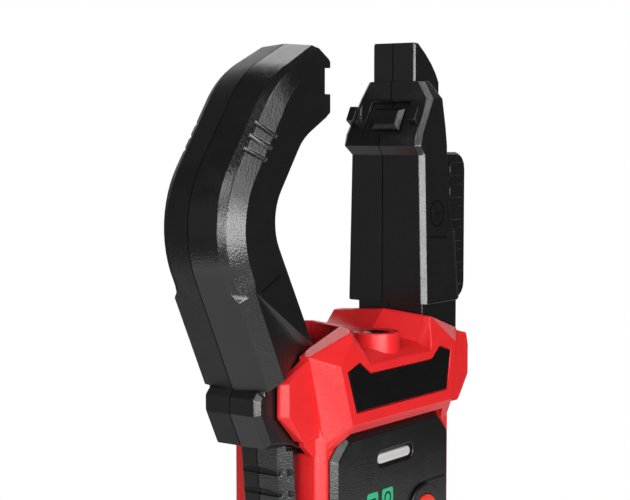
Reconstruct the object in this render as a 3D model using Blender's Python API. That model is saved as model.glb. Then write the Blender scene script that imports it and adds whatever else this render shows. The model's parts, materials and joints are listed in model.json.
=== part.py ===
"""Clamp meter with a hinged jaw and its trigger, a fixed jaw, a two-part case, a dial and buttons.

Local frame: X across the meter, Y front (-) to back (+) from the parting plane, Z up from the panel.
The root empty moves that frame so that the world origin lies on the bottom end of the case.
"""

import math

import bmesh
import bpy
from mathutils import Vector

MM = 0.001

# Fits and walls
CLEARANCE = 0.3 * MM
WALL = 2.2 * MM
SEAM_GAP = 0.3 * MM
RUNNING_GAP = 0.5 * MM
CUT_MARGIN = 3.0 * MM

# Case body
BODY_LENGTH = 115.0 * MM
BODY_HALF_WIDTH = 32.4 * MM
BODY_FRONT_DEPTH = 13.7 * MM
BODY_REAR_DEPTH = 16.3 * MM
BODY_SIDE_CHAMFER = 2.2 * MM
BODY_CORNER_RADIUS = 10.0 * MM
PARTING_OFFSET = 1.0 * MM

# Cap: the faceted head of the case, with its finger guards
CAP_FRONT_DEPTH = 18.4 * MM
CAP_FRONT_LEAN = 1.0 * MM
CAP_FOOT_HEIGHT = 2.9 * MM
CAP_FOOT_HALF_WIDTH = 24.8 * MM
CAP_BROW_HEIGHT = 18.9 * MM
CAP_BROW_HALF_WIDTH = 28.7 * MM
CAP_PEAK_HEIGHT = 27.2 * MM
CAP_PEAK_HALF_WIDTH = 18.9 * MM
CAP_PEAK_DEPTH = 15.0 * MM
CAP_RIDGE_HEIGHT = 28.6 * MM
SHOULDER_HEIGHT = 21.9 * MM
SHOULDER_HALF_WIDTH = 36.7 * MM
SHOULDER_DEPTH = 12.8 * MM
CAP_HEM_HALF_WIDTH = 29.8 * MM
CAP_HEM_SETBACK = 0.1 * MM
CAP_HEM_HEIGHT = -3.4 * MM
CAP_REAR_PEAK_HEIGHT = 27.4 * MM
GUARD_HALF_WIDTH = 46.0 * MM
GUARD_DEPTH = 12.4 * MM
GUARD_ROUNDING = 1.8 * MM
GUARD_TOP = 16.0 * MM
GUARD_BOTTOM = 7.4 * MM
GUARD_TAIL_HALF_WIDTH = 38.6 * MM
GUARD_TAIL_HEIGHT = 0.2 * MM
GUARD_CREST_HALF_WIDTH = 43.2 * MM
GUARD_CREST_HEIGHT = 19.8 * MM
VALLEY_HALF_WIDTH = 15.0 * MM
VALLEY_FLOOR_FRONT = 17.4 * MM
VALLEY_KNEE_DEPTH = 12.6 * MM
VALLEY_KNEE_HEIGHT = 20.2 * MM
VALLEY_REAR_HALF_WIDTH = 10.8 * MM
VALLEY_FLOOR_REAR = 23.2 * MM
VALLEY_FRONT_LEAN = 1.0
VALLEY_KNEE_LEAN = 0.4
VALLEY_REAR_LEAN = 1.05

# Torch between the jaws
TORCH_DEPTH = 9.0 * MM
TORCH_RING_RADIUS = 6.4 * MM
TORCH_RING_TOP = 24.6 * MM
TORCH_LENS_RADIUS = 4.0 * MM
TORCH_LENS_THICKNESS = 1.2 * MM
TORCH_LENS_SINK = 0.6 * MM
TORCH_LED_RADIUS = 2.5 * MM
TORCH_LED_HEIGHT = 5.0 * MM
TORCH_LED_DOME = 1.75 * MM
TORCH_BORE_DEPTH = 8.0 * MM

# Name plate, left bare
LABEL_THICKNESS = 0.7 * MM
LABEL_FOOT_HEIGHT = 6.3 * MM
LABEL_FOOT_HALF_WIDTH = 22.4 * MM
LABEL_SIDE_HEIGHT = 17.0 * MM
LABEL_SIDE_HALF_WIDTH = 25.4 * MM
LABEL_PEAK_HEIGHT = 18.7 * MM
LABEL_PEAK_HALF_WIDTH = 20.0 * MM
LABEL_NOTCH_HEIGHT = 15.4 * MM
LABEL_NOTCH_HALF_WIDTH = 15.3 * MM

# Jaw hinge
PIVOT_X = -21.5 * MM
PIVOT_Z = 0.0 * MM
JAW_OPEN_ANGLE = math.radians(28.75)
PIN_RADIUS = 2.5 * MM
PIN_SEAT_DEPTH = 2.6 * MM
HINGE_BOSS_RADIUS = 7.6 * MM
ARM_HALF_DEPTH = 9.0 * MM
SLOT_HALF_DEPTH = 9.5 * MM
SLOT_TOP_X = -18.3 * MM
SLOT_FOOT = -9.0 * MM
SLOT_SIDE_FOOT = -4.0 * MM
SPRING_WIRE_RADIUS = 0.5 * MM
SPRING_PITCH = 1.45 * MM
SPRING_TURNS = 4
SPRING_POINTS_PER_TURN = 10
SPRING_POCKET_RADIUS = 5.2 * MM

# Jaw section, seen along the jaw
JAW_FRONT_DEPTH = 13.0 * MM
JAW_REAR_DEPTH = 12.0 * MM
JAW_DRAFT = 0.8 * MM
JAW_INNER_CHAMFER = 1.4 * MM
JAW_STEP_1_WIDTH = 1.2 * MM
JAW_STEP_1_DEPTH = 2.1 * MM
JAW_STEP_2_WIDTH = 4.3 * MM
JAW_STEP_2_DEPTH = 2.6 * MM
JAW_LEG_CHAMFER_WIDTH = 4.6 * MM
JAW_LEG_CHAMFER_DEPTH = 2.2 * MM
JAW_SHELL_WALL = 2.2 * MM
CHAMFER_CHANGE = 3.0 * MM

# Moving jaw, drawn closed
JAW_FOOT = 27.0 * MM
MOVING_INNER_X = -19.2 * MM
MOVING_OUTER_FOOT_X = -40.9 * MM
MOVING_OUTER_TOP_X = -39.6 * MM
LEG_TOP = 57.5 * MM
LEG_CHAMFER_TOP = 53.0 * MM
ARCH_SLOPE = math.radians(26.0)
ARCH_INNER_RADIUS = 11.5 * MM
ARCH_OUTER_RADIUS = 28.5 * MM
ARCH_STEPS = 12
CREST_INNER_X = 1.5 * MM
CREST_OUTER_X = 0.5 * MM
CREST_INNER_BEND = 4.0 * MM
CREST_OUTER_BEND = 8.0 * MM
CREST_STEPS = 6
CREST_DROP = 1.6 * MM
CREST_CHAMFER_SHARE = 0.8
TIP_CHAMFER_SHARE = 0.95
TIP_GAP = 0.35 * MM
GROOVE_COUNT = 3
GROOVE_WIDTH = 1.2 * MM
GROOVE_DEPTH = 0.9 * MM
GROOVE_SPACING = 4.0 * MM
GROOVE_START = 5.0 * MM

# Knuckle and trigger of the moving jaw, drawn open
KNUCKLE_OUT_X = -52.9 * MM
KNUCKLE_TOP = 14.6 * MM
KNUCKLE_SHOULDER_X = -51.4 * MM
KNUCKLE_SHOULDER = 12.8 * MM
KNUCKLE_WAIST = 8.4 * MM
KNUCKLE_FOOT_X = -48.4 * MM
KNUCKLE_FOOT = -0.4 * MM
KNUCKLE_CHAMFER = 1.4 * MM
TRIGGER_GAP = 0.9 * MM
TRIGGER_TOP_WIDTH = 9.0 * MM
TRIGGER_END_WIDTH = 5.7 * MM
TRIGGER_FOOT = -38.0 * MM
TRIGGER_CHAMFER = 1.7 * MM
TRIGGER_FRONT_DEPTH = 8.2 * MM
TRIGGER_REAR_DEPTH = 6.4 * MM
RIB_COUNT = 5
RIB_SPACING = 5.6 * MM
RIB_GAP = 1.6 * MM
RIB_HEIGHT = 0.9 * MM
RIB_START = -7.0 * MM

# Fixed jaw
FIXED_INNER_X = 16.4 * MM
FIXED_OUTER_FOOT_X = 40.3 * MM
FIXED_OUTER_TOP_X = 36.6 * MM
FIXED_FOOT = 30.4 * MM
FIXED_FLARE = 1.0 * MM
FIXED_HEAD_REAR_DEPTH = 13.2 * MM
FIXED_CHAMFER_TOP = 50.0 * MM
HEAD_FOOT = 72.6 * MM
HEAD_LEDGE = 2.2 * MM
HEAD_LEDGE_HEIGHT = 2.6 * MM
MATE_FOOT_X = 15.1 * MM
MATE_FOOT = 78.3 * MM
MATE_LENGTH = 11.8 * MM
HEAD_TOP = 93.6 * MM
HEAD_TOP_WIDTH = 10.4 * MM
HEAD_TOP_TAPER = 3.0 * MM
BEAK_TOP = 104.5 * MM
BEAK_ROOT = 5.5 * MM
BEAK_FOOT_WIDTH = 13.6 * MM
BEAK_TOP_WIDTH = 2.4 * MM
BEAK_BULGE = 1.4 * MM
BEAK_STEPS = 4
BEAK_FRONT_DEPTH = 7.4 * MM
BEAK_REAR_DEPTH = 6.8 * MM
BEAK_CHAMFER = 0.5 * MM
NECK_INSET = 1.6 * MM
NECK_INNER_INSET = 3.4 * MM
NECK_FOOT = 8.0 * MM
FIN_OUTER_X = 53.0 * MM
FIN_FOOT = 28.9 * MM
FIN_TOP = 73.2 * MM
FIN_HALF_DEPTH = 6.0 * MM
FIN_RADIUS = 5.0 * MM
FIN_CHAMFER = 0.8 * MM
PAD_COUNT = 6
PAD_SPACING = 6.5 * MM
PAD_RAISE = 0.8 * MM
PAD_HEIGHT = 4.2 * MM
PAD_WIDTH = 8.0 * MM
PAD_EDGE_GAP = 2.6 * MM
PAD_RISE = 0.8 * MM
PAD_RADIUS = 1.2 * MM
EAR_REACH = 2.2 * MM
EAR_HEIGHT = 5.6 * MM
EAR_TIP_HEIGHT = 4.5 * MM
EAR_THICKNESS = 2.6 * MM

# Pole windows where the jaws meet, and the magnetic cores
WINDOW_HEIGHT = 10.6 * MM
WINDOW_HALF_DEPTH = 6.6 * MM
WINDOW_RECESS = 1.8 * MM
POLE_RIM = 1.7 * MM
POLE_SLOPE = 1.4 * MM
POLE_HEIGHT = 1.4 * MM
CORE_WIDTH = 7.0 * MM
COIL_THICKNESS = 1.7 * MM
COIL_LENGTH = 18.0 * MM
CORE_START = 3.9 * MM
MOVING_COIL_START = 6.5 * MM
FIXED_COIL_START = 1.4 * MM
TIP_HOLLOW_SHARE = 0.7
TIP_CORE_SHARE = 0.6
HEAD_HOLLOW_SHARE = 0.3
HEAD_CORE_SHARE = 0.2

# Front panel and what shows through it
PANEL_HALF_WIDTH = 29.0 * MM
PANEL_THICKNESS = 1.9 * MM
PANEL_BEVEL = 1.9 * MM
PANEL_FOOT_MARGIN = 4.0 * MM
PANEL_CORNER_CUT = 6.0 * MM
PANEL_RECESS = 0.4 * MM
DIAL_Z = -50.0 * MM
DIAL_RADIUS = 17.0 * MM
DIAL_HEIGHT = 3.6 * MM
DIAL_GRIP_HEIGHT = 4.6 * MM
DIAL_GRIP_HALF_WIDTH = 4.2 * MM
DIAL_BEVEL = 1.0 * MM
DIAL_SHAFT_RADIUS = 3.2 * MM
DIAL_SIDES = 48
HOLD_X = 14.4 * MM
HOLD_Z = -28.1 * MM
SELECT_X = -19.0 * MM
SELECT_Z = -69.0 * MM
BUTTON_RADIUS = 5.3 * MM
BUTTON_RISE = 1.7 * MM
BUTTON_TRAVEL = 0.8 * MM
BUTTON_STEM_RADIUS = 2.0 * MM
BEZEL_WIDTH = 2.9 * MM
BEZEL_HEIGHT = 0.7 * MM
PILL_LENGTH = 16.0 * MM
PILL_RADIUS = 1.4 * MM
PILL_Z = -9.2 * MM
PILL_BEVEL = 0.3 * MM
PILL_SINK = 0.3 * MM
PILL_RIM = 0.9 * MM
PILL_RIM_DEPTH = 0.8 * MM
LCD_HALF_WIDTH = 21.5 * MM
LCD_DIAL_GAP = 12.0 * MM
LCD_FOOT_MARGIN = 6.0 * MM
LCD_BORDER = 2.0 * MM
LCD_GLASS_THICKNESS = 1.6 * MM
LCD_MODULE_THICKNESS = 2.0 * MM
BOARD_HALF_WIDTH = 27.5 * MM
BOARD_TOP = -17.0 * MM
BOARD_FOOT_MARGIN = 7.0 * MM
BOARD_THICKNESS = 1.6 * MM
BUZZER_RADIUS = 6.0 * MM
BUZZER_HEIGHT = 3.6 * MM
BUZZER_X = 14.0 * MM
BUZZER_Z = -30.0 * MM

# Batteries, their tray and door
BATTERY_RADIUS = 5.2 * MM
BATTERY_LENGTH = 44.0 * MM
BATTERY_SPACING = 11.2 * MM
BATTERY_COUNT = 3
BATTERY_NUB_RADIUS = 1.9 * MM
BATTERY_NUB_HEIGHT = 0.9 * MM
TRAY_JACK_GAP = 6.2 * MM
TRAY_WALL = 1.2 * MM
DOOR_THICKNESS = 2.0 * MM
DOOR_LAP = 3.0 * MM
DOOR_TAIL = 9.0 * MM

# Fasteners and sockets
SCREW_HEAD_RADIUS = 2.6 * MM
SCREW_HEAD_HEIGHT = 1.8 * MM
SCREW_SHANK_RADIUS = 1.3 * MM
SCREW_SHANK_LENGTH = 17.0 * MM
SCREW_SLOT_WIDTH = 0.8 * MM
SCREW_SLOT_DEPTH = 0.8 * MM
SCREW_X = 25.5 * MM
SCREW_UPPER_Z = -22.0 * MM
SCREW_LOWER_MARGIN = 11.0 * MM
SCREW_BOSS_RADIUS = 3.2 * MM
JACK_X = 9.5 * MM
JACK_DEPTH = 6.6 * MM
JACK_RADIUS = 4.2 * MM
JACK_BORE_RADIUS = 2.05 * MM
JACK_LENGTH = 15.0 * MM
JACK_FLANGE = 1.2 * MM
JACK_FLANGE_THICKNESS = 1.0 * MM

ROUND_SIDES = 24
SMALL_SIDES = 16

# Finish of each kind of piece: linear colour, roughness, metallic
RED_PLASTIC = ((0.62, 0.012, 0.016), 0.38, 0.0)
BLACK_PLASTIC = ((0.012, 0.012, 0.013), 0.5, 0.0)
PANEL_PLASTIC = ((0.008, 0.008, 0.009), 0.42, 0.0)
ORANGE_PLASTIC = ((0.75, 0.045, 0.02), 0.4, 0.0)
PALE_PLASTIC = ((0.62, 0.62, 0.6), 0.35, 0.0)
CLEAR_PLASTIC = ((0.75, 0.8, 0.82), 0.08, 0.0)
DISPLAY_GREY = ((0.32, 0.36, 0.31), 0.3, 0.0)
BOARD_GREEN = ((0.02, 0.16, 0.06), 0.5, 0.0)
STEEL = ((0.55, 0.55, 0.56), 0.3, 1.0)
CORE_STEEL = ((0.25, 0.25, 0.26), 0.4, 1.0)
COPPER = ((0.6, 0.25, 0.1), 0.35, 1.0)
BRASS = ((0.7, 0.5, 0.2), 0.3, 1.0)
CELL_JACKET = ((0.05, 0.2, 0.45), 0.4, 0.0)

# Levels and places worked out from the sizes above
PANEL_SEAT_Y = -BODY_FRONT_DEPTH + PANEL_RECESS
PANEL_BACK_Y = PANEL_SEAT_Y - CLEARANCE
PANEL_FACE_Y = PANEL_BACK_Y - PANEL_THICKNESS
INSIDE_FRONT_Y = -BODY_FRONT_DEPTH + WALL
LCD_BACK_Y = INSIDE_FRONT_Y + CLEARANCE + LCD_MODULE_THICKNESS
BOARD_FRONT_Y = LCD_BACK_Y + CLEARANCE
BOARD_BACK_Y = BOARD_FRONT_Y + BOARD_THICKNESS
INSIDE_REAR_Y = BODY_REAR_DEPTH - WALL
CHANNEL_DEPTH = JAW_REAR_DEPTH - NECK_INSET - JAW_SHELL_WALL - JAW_STEP_2_DEPTH / 2
COIL_HALF_DEPTH = CHANNEL_DEPTH - CLEARANCE
CORE_HALF_DEPTH = COIL_HALF_DEPTH - COIL_THICKNESS - CLEARANCE
PANEL_FOOT = -BODY_LENGTH + PANEL_FOOT_MARGIN
LCD_TOP = DIAL_Z - DIAL_RADIUS - LCD_DIAL_GAP
LCD_FOOT = PANEL_FOOT + LCD_FOOT_MARGIN
BOARD_FOOT = -BODY_LENGTH + BOARD_FOOT_MARGIN
SCREW_LOWER_Z = -BODY_LENGTH + SCREW_LOWER_MARGIN
JACK_TOP = -BODY_LENGTH + CLEARANCE + JACK_LENGTH
BATTERY_FOOT = JACK_TOP + TRAY_JACK_GAP + TRAY_WALL + CLEARANCE
TRIGGER_INNER_X = -BODY_HALF_WIDTH - TRIGGER_GAP
TRIGGER_TOP_X = TRIGGER_INNER_X - TRIGGER_TOP_WIDTH
TRIGGER_END_X = TRIGGER_INNER_X - TRIGGER_END_WIDTH
MATE_ALONG = Vector((math.sin(JAW_OPEN_ANGLE), 0.0, math.cos(JAW_OPEN_ANGLE)))
MATE_OUT = Vector((-math.cos(JAW_OPEN_ANGLE), 0.0, math.sin(JAW_OPEN_ANGLE)))
MATE_START = Vector((MATE_FOOT_X, 0.0, MATE_FOOT))
MATE_MIDDLE = MATE_START + MATE_ALONG * (MATE_LENGTH / 2)
MATE_TOP = MATE_START + MATE_ALONG * MATE_LENGTH
PIVOT = Vector((PIVOT_X, 0.0, PIVOT_Z))
DEPTH_AXIS = Vector((0.0, 1.0, 0.0))


def clear_scene():
    for obj in list(bpy.data.objects):
        bpy.data.objects.remove(obj, do_unlink=True)


def empty(name, location, parent=None, turn=0.0):
    """An empty whose own Y axis carries a hinge or the whole meter."""
    obj = bpy.data.objects.new(name, None)
    obj.location = location
    obj.rotation_euler = (0.0, turn, 0.0)
    obj.parent = parent
    bpy.context.scene.collection.objects.link(obj)
    return obj


def material(name, finish):
    colour, roughness, metallic = finish
    made = bpy.data.materials.new(name)
    made.use_nodes = True
    shader = made.node_tree.nodes["Principled BSDF"]
    shader.inputs["Base Color"].default_value = (*colour, 1.0)
    shader.inputs["Roughness"].default_value = roughness
    shader.inputs["Metallic"].default_value = metallic
    return made


def piece(name, bm, finish, parent):
    """Turns a bmesh into a named object with its own material."""
    bmesh.ops.recalc_face_normals(bm, faces=bm.faces)
    mesh = bpy.data.meshes.new(name)
    bm.to_mesh(mesh)
    bm.free()
    obj = bpy.data.objects.new(name, mesh)
    obj.parent = parent
    bpy.context.scene.collection.objects.link(obj)
    if finish is not None:
        mesh.materials.append(material(name, finish))
    return obj


def helper(name, bm, parent):
    """A cutter or an added shape: never part of the model by itself."""
    obj = piece(name, bm, None, parent)
    obj.hide_render = True
    obj.display_type = "WIRE"
    return obj


def boolean(obj, bm, operation):
    other = helper(f"{obj.name}_{operation.lower()}_{len(obj.modifiers)}", bm, obj.parent)
    modifier = obj.modifiers.new(other.name, "BOOLEAN")
    modifier.operation = operation
    modifier.solver = "EXACT"
    modifier.object = other


def cut(obj, bm):
    boolean(obj, bm, "DIFFERENCE")


def join(obj, bm):
    boolean(obj, bm, "UNION")


def loft(loops):
    """A closed body through loops of equally many points."""
    bm = bmesh.new()
    rings = [[bm.verts.new(point) for point in loop] for loop in loops]
    count = len(rings[0])
    for ring, following in zip(rings, rings[1:]):
        for i in range(count):
            j = (i + 1) % count
            bm.faces.new((ring[i], ring[j], following[j], following[i]))
    bm.faces.new(rings[0])
    bm.faces.new(rings[-1])
    return bm


def at_depth(outline, y):
    return [Vector((x, y, z)) for x, z in outline]


def prism(outline, y0, y1):
    """An outline in X and Z carried from y0 to y1."""
    return loft([at_depth(outline, y0), at_depth(outline, y1)])


def inset(outline, distance):
    """The outline drawn in by a distance, with mitred corners."""
    points = [Vector(p) for p in outline]
    count = len(points)
    area = sum(points[i].cross(points[(i + 1) % count]) for i in range(count))
    side = 1.0 if area > 0 else -1.0
    result = []
    for i in range(count):
        before = (points[i] - points[i - 1]).normalized()
        after = (points[(i + 1) % count] - points[i]).normalized()
        normal_before = Vector((-before.y, before.x)) * side
        normal_after = Vector((-after.y, after.x)) * side
        reach = distance / max(0.3, 1.0 + normal_before.dot(normal_after))
        result.append(tuple(points[i] + (normal_before + normal_after) * reach))
    return result


def chamfered_prism(outline, y_start, y_end, chamfer):
    """A prism whose far end is drawn in by a 45 degree chamfer."""
    toward = math.copysign(chamfer, y_end - y_start)
    return loft(
        [
            at_depth(outline, y_start),
            at_depth(outline, y_end - toward),
            at_depth(inset(outline, chamfer), y_end),
        ]
    )


def hull(points):
    bm = bmesh.new()
    for point in points:
        bm.verts.new(point)
    made = bmesh.ops.convex_hull(bm, input=bm.verts)
    spare = made["geom_interior"] + made["geom_unused"]
    loose = {item for item in spare if isinstance(item, bmesh.types.BMVert)}
    bmesh.ops.delete(bm, geom=list(loose), context="VERTS")
    bmesh.ops.dissolve_limit(bm, angle_limit=math.radians(0.3), verts=bm.verts, edges=bm.edges)
    return bm


def box(low, high):
    xs, ys, zs = zip(low, high)
    return prism([(xs[0], zs[0]), (xs[1], zs[0]), (xs[1], zs[1]), (xs[0], zs[1])], ys[0], ys[1])


def circle(centre_x, centre_z, radius, sides=ROUND_SIDES):
    turns = [2 * math.pi * i / sides for i in range(sides)]
    return [(centre_x + radius * math.cos(t), centre_z + radius * math.sin(t)) for t in turns]


def disc(centre_x, centre_z, radius, y0, y1, sides=ROUND_SIDES):
    """A round bar along Y."""
    return prism(circle(centre_x, centre_z, radius, sides), y0, y1)


def turned(centre_x, centre_y, steps, sides=ROUND_SIDES):
    """A round bar along Z through (height, radius) steps."""
    loops = []
    for height, radius in steps:
        ring = circle(centre_x, centre_y, radius, sides)
        loops.append([Vector((x, y, height)) for x, y in ring])
    return loft(loops)


def turned_front(centre_x, centre_z, steps, sides=ROUND_SIDES):
    """A round bar along Y through (depth, radius) steps."""
    return loft([at_depth(circle(centre_x, centre_z, r, sides), y) for y, r in steps])


def rounded_rectangle(x0, x1, z0, z1, radii, steps=4):
    """Corner radii are given from the lower left corner, counter-clockwise."""
    corners = [(x0, z0, 1, 1, 180), (x1, z0, -1, 1, 270), (x1, z1, -1, -1, 0), (x0, z1, 1, -1, 90)]
    points = []
    for (x, z, dx, dz, start), radius in zip(corners, radii):
        if radius == 0.0:
            points.append((x, z))
            continue
        for i in range(steps + 1):
            turn = math.radians(start + 90.0 * i / steps)
            along = dx * radius + radius * math.cos(turn)
            up = dz * radius + radius * math.sin(turn)
            points.append((x + along, z + up))
    return points


def pill_outline(grow):
    """The light pipe's pill shape, lying along X."""
    half = PILL_LENGTH / 2 + grow
    radius = PILL_RADIUS + grow
    return rounded_rectangle(-half, half, PILL_Z - radius, PILL_Z + radius, [radius] * 4, steps=5)


def mirrored(points):
    return [Vector((side * x, y, z)) for x, y, z in points for side in (1, -1)]


def smooth(obj, degrees=30.0):
    obj.data.shade_smooth()
    obj.data.set_sharp_from_angle(angle=math.radians(degrees))


def body_outline(inset_by, top):
    """The case body seen from the front, with rounded bottom corners."""
    half = BODY_HALF_WIDTH - inset_by
    radius = BODY_CORNER_RADIUS - inset_by
    return rounded_rectangle(-half, half, -BODY_LENGTH + inset_by, top, [radius, radius, 0.0, 0.0])


def cap_front_y(z):
    """Depth of the cap's leaning front face at a height."""
    rise = (z - CAP_FOOT_HEIGHT) / (CAP_BROW_HEIGHT - CAP_FOOT_HEIGHT)
    return -CAP_FRONT_DEPTH + CAP_FRONT_LEAN * rise


def cap_block_points(seam_y, shoulder_y):
    """Points that the front and rear blocks of the cap share."""
    return mirrored(
        [
            (SHOULDER_HALF_WIDTH, seam_y, SHOULDER_HEIGHT),
            (SHOULDER_HALF_WIDTH, shoulder_y, SHOULDER_HEIGHT),
            (CAP_PEAK_HALF_WIDTH, seam_y, CAP_RIDGE_HEIGHT),
            (CAP_HEM_HALF_WIDTH, seam_y, CAP_HEM_HEIGHT),
        ]
    )


def cap_front():
    own = mirrored(
        [
            (CAP_FOOT_HALF_WIDTH, -CAP_FRONT_DEPTH, CAP_FOOT_HEIGHT),
            (CAP_BROW_HALF_WIDTH, -CAP_FRONT_DEPTH + CAP_FRONT_LEAN, CAP_BROW_HEIGHT),
            (CAP_PEAK_HALF_WIDTH, -CAP_PEAK_DEPTH, CAP_PEAK_HEIGHT),
            (CAP_HEM_HALF_WIDTH, -BODY_FRONT_DEPTH + CAP_HEM_SETBACK, CAP_HEM_HEIGHT),
        ]
    )
    return hull(own + cap_block_points(-SEAM_GAP / 2, -SHOULDER_DEPTH))


def cap_rear():
    own = mirrored(
        [
            (CAP_PEAK_HALF_WIDTH, BODY_REAR_DEPTH, CAP_REAR_PEAK_HEIGHT),
            (CAP_BROW_HALF_WIDTH, BODY_REAR_DEPTH, CAP_BROW_HEIGHT),
            (CAP_BROW_HALF_WIDTH, BODY_REAR_DEPTH, CAP_HEM_HEIGHT),
        ]
    )
    return hull(own + cap_block_points(SEAM_GAP / 2, SHOULDER_DEPTH))


def guard(hand, side):
    """A finger guard beside the cap, drawn in above and below; the fixed jaw's side is higher."""
    outer = hand * GUARD_HALF_WIDTH
    face = hand * (GUARD_HALF_WIDTH - GUARD_ROUNDING)
    tail = hand * GUARD_TAIL_HALF_WIDTH
    inner = hand * (CAP_HEM_HALF_WIDTH - WALL)
    shoulder = hand * (SHOULDER_HALF_WIDTH - WALL)
    points = []
    for x, y in ((outer, SEAM_GAP / 2), (outer, GUARD_DEPTH - GUARD_ROUNDING), (face, GUARD_DEPTH)):
        points.append((x, side * y, GUARD_TOP))
        points.append((x, side * y, GUARD_BOTTOM))
    for y in (SEAM_GAP / 2, GUARD_DEPTH):
        points.append((tail, side * y, GUARD_TAIL_HEIGHT))
        points.append((inner, side * y, GUARD_TAIL_HEIGHT))
        points.append((shoulder, side * y, SHOULDER_HEIGHT))
        points.append((inner, side * y, SHOULDER_HEIGHT - WALL))
    if hand > 0:
        for y in (SEAM_GAP / 2, GUARD_DEPTH):
            points.append((GUARD_CREST_HALF_WIDTH, side * y, GUARD_CREST_HEIGHT))
    return hull([Vector(point) for point in points])


def valley():
    """The trough between the cap's peaks, narrower and higher towards the back, with leaning walls."""
    top = CAP_RIDGE_HEIGHT + CUT_MARGIN
    ahead = CAP_FRONT_DEPTH + CUT_MARGIN
    rise = (VALLEY_KNEE_HEIGHT - VALLEY_FLOOR_FRONT) / (CAP_FRONT_DEPTH - VALLEY_KNEE_DEPTH)
    stops = (
        (-ahead, VALLEY_FLOOR_FRONT - rise * CUT_MARGIN, VALLEY_HALF_WIDTH, VALLEY_FRONT_LEAN),
        (-VALLEY_KNEE_DEPTH, VALLEY_KNEE_HEIGHT, VALLEY_HALF_WIDTH, VALLEY_KNEE_LEAN),
        (0.0, VALLEY_FLOOR_REAR, VALLEY_REAR_HALF_WIDTH, VALLEY_REAR_LEAN),
        (BODY_REAR_DEPTH + CUT_MARGIN, VALLEY_FLOOR_REAR, VALLEY_REAR_HALF_WIDTH, VALLEY_REAR_LEAN),
    )
    sections = []
    for y, floor, half, lean in stops:
        flare = half + (top - floor) * lean
        outline = ((-half, floor), (half, floor), (flare, top), (-flare, top))
        sections.append([Vector((x, y, z)) for x, z in outline])
    return loft(sections)


def jaw_slot():
    """Room for the jaw's arm in the left side of the case, open to the side and the top."""
    outside = -GUARD_HALF_WIDTH - CUT_MARGIN
    right = PIVOT_X + HINGE_BOSS_RADIUS + RUNNING_GAP
    top = CAP_RIDGE_HEIGHT + CUT_MARGIN
    outline = [
        (outside, SLOT_SIDE_FOOT),
        (-BODY_HALF_WIDTH, SLOT_SIDE_FOOT),
        (PIVOT_X, SLOT_FOOT),
        (right, SLOT_FOOT),
        (right, PIVOT_Z + HINGE_BOSS_RADIUS),
        (SLOT_TOP_X, PIVOT_Z + HINGE_BOSS_RADIUS + CUT_MARGIN),
        (SLOT_TOP_X, top),
        (outside, top),
    ]
    return prism(outline, -SLOT_HALF_DEPTH, SLOT_HALF_DEPTH)


def neck_box(grow):
    """The fixed jaw's foot, which the cap holds."""
    low = (
        FIXED_INNER_X + NECK_INNER_INSET - grow,
        -JAW_FRONT_DEPTH + NECK_INSET - grow,
        NECK_FOOT - grow,
    )
    high = (
        FIXED_OUTER_FOOT_X - NECK_INSET + grow,
        JAW_REAR_DEPTH - NECK_INSET + grow,
        FIXED_FOOT + CUT_MARGIN,
    )
    return box(low, high)


def cavity(y0, y1):
    """The hollow of the case body."""
    half = BODY_HALF_WIDTH - WALL
    radius = BODY_CORNER_RADIUS - WALL
    top = SLOT_FOOT + WALL
    outline = rounded_rectangle(-half, half, -BODY_LENGTH + WALL, top, [radius, radius, 0.0, 0.0])
    return prism(outline, y0, y1)


def screw_places():
    return [(x, z) for z in (SCREW_UPPER_Z, SCREW_LOWER_Z) for x in (-SCREW_X, SCREW_X)]


def button_places():
    return [(HOLD_X, HOLD_Z), (SELECT_X, SELECT_Z)]


def front_openings(grow):
    """Outlines of the holes for the dial shaft and the light pipe."""
    outlines = [circle(0.0, DIAL_Z, DIAL_SHAFT_RADIUS + grow, SMALL_SIDES)]
    outlines.append(pill_outline(grow))
    return outlines


def display_outline(grow):
    half = LCD_HALF_WIDTH + grow
    low = LCD_FOOT - grow
    high = LCD_TOP + grow
    return [(-half, low), (half, low), (half, high), (-half, high)]


def label_outline(grow=0.0):
    right = [
        (LABEL_FOOT_HALF_WIDTH, LABEL_FOOT_HEIGHT),
        (LABEL_SIDE_HALF_WIDTH, LABEL_SIDE_HEIGHT),
        (LABEL_PEAK_HALF_WIDTH, LABEL_PEAK_HEIGHT),
        (LABEL_NOTCH_HALF_WIDTH, LABEL_NOTCH_HEIGHT),
    ]
    left = [(-x, z) for x, z in reversed(right)]
    return inset(right + left, -grow) if grow else right + left


def label_slab(outline, below, above):
    """A thin slab that follows the cap's leaning front face."""
    loops = []
    for lift in (-below, above):
        loops.append([Vector((x, cap_front_y(z) - lift, z)) for x, z in outline])
    return loft(loops)


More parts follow.
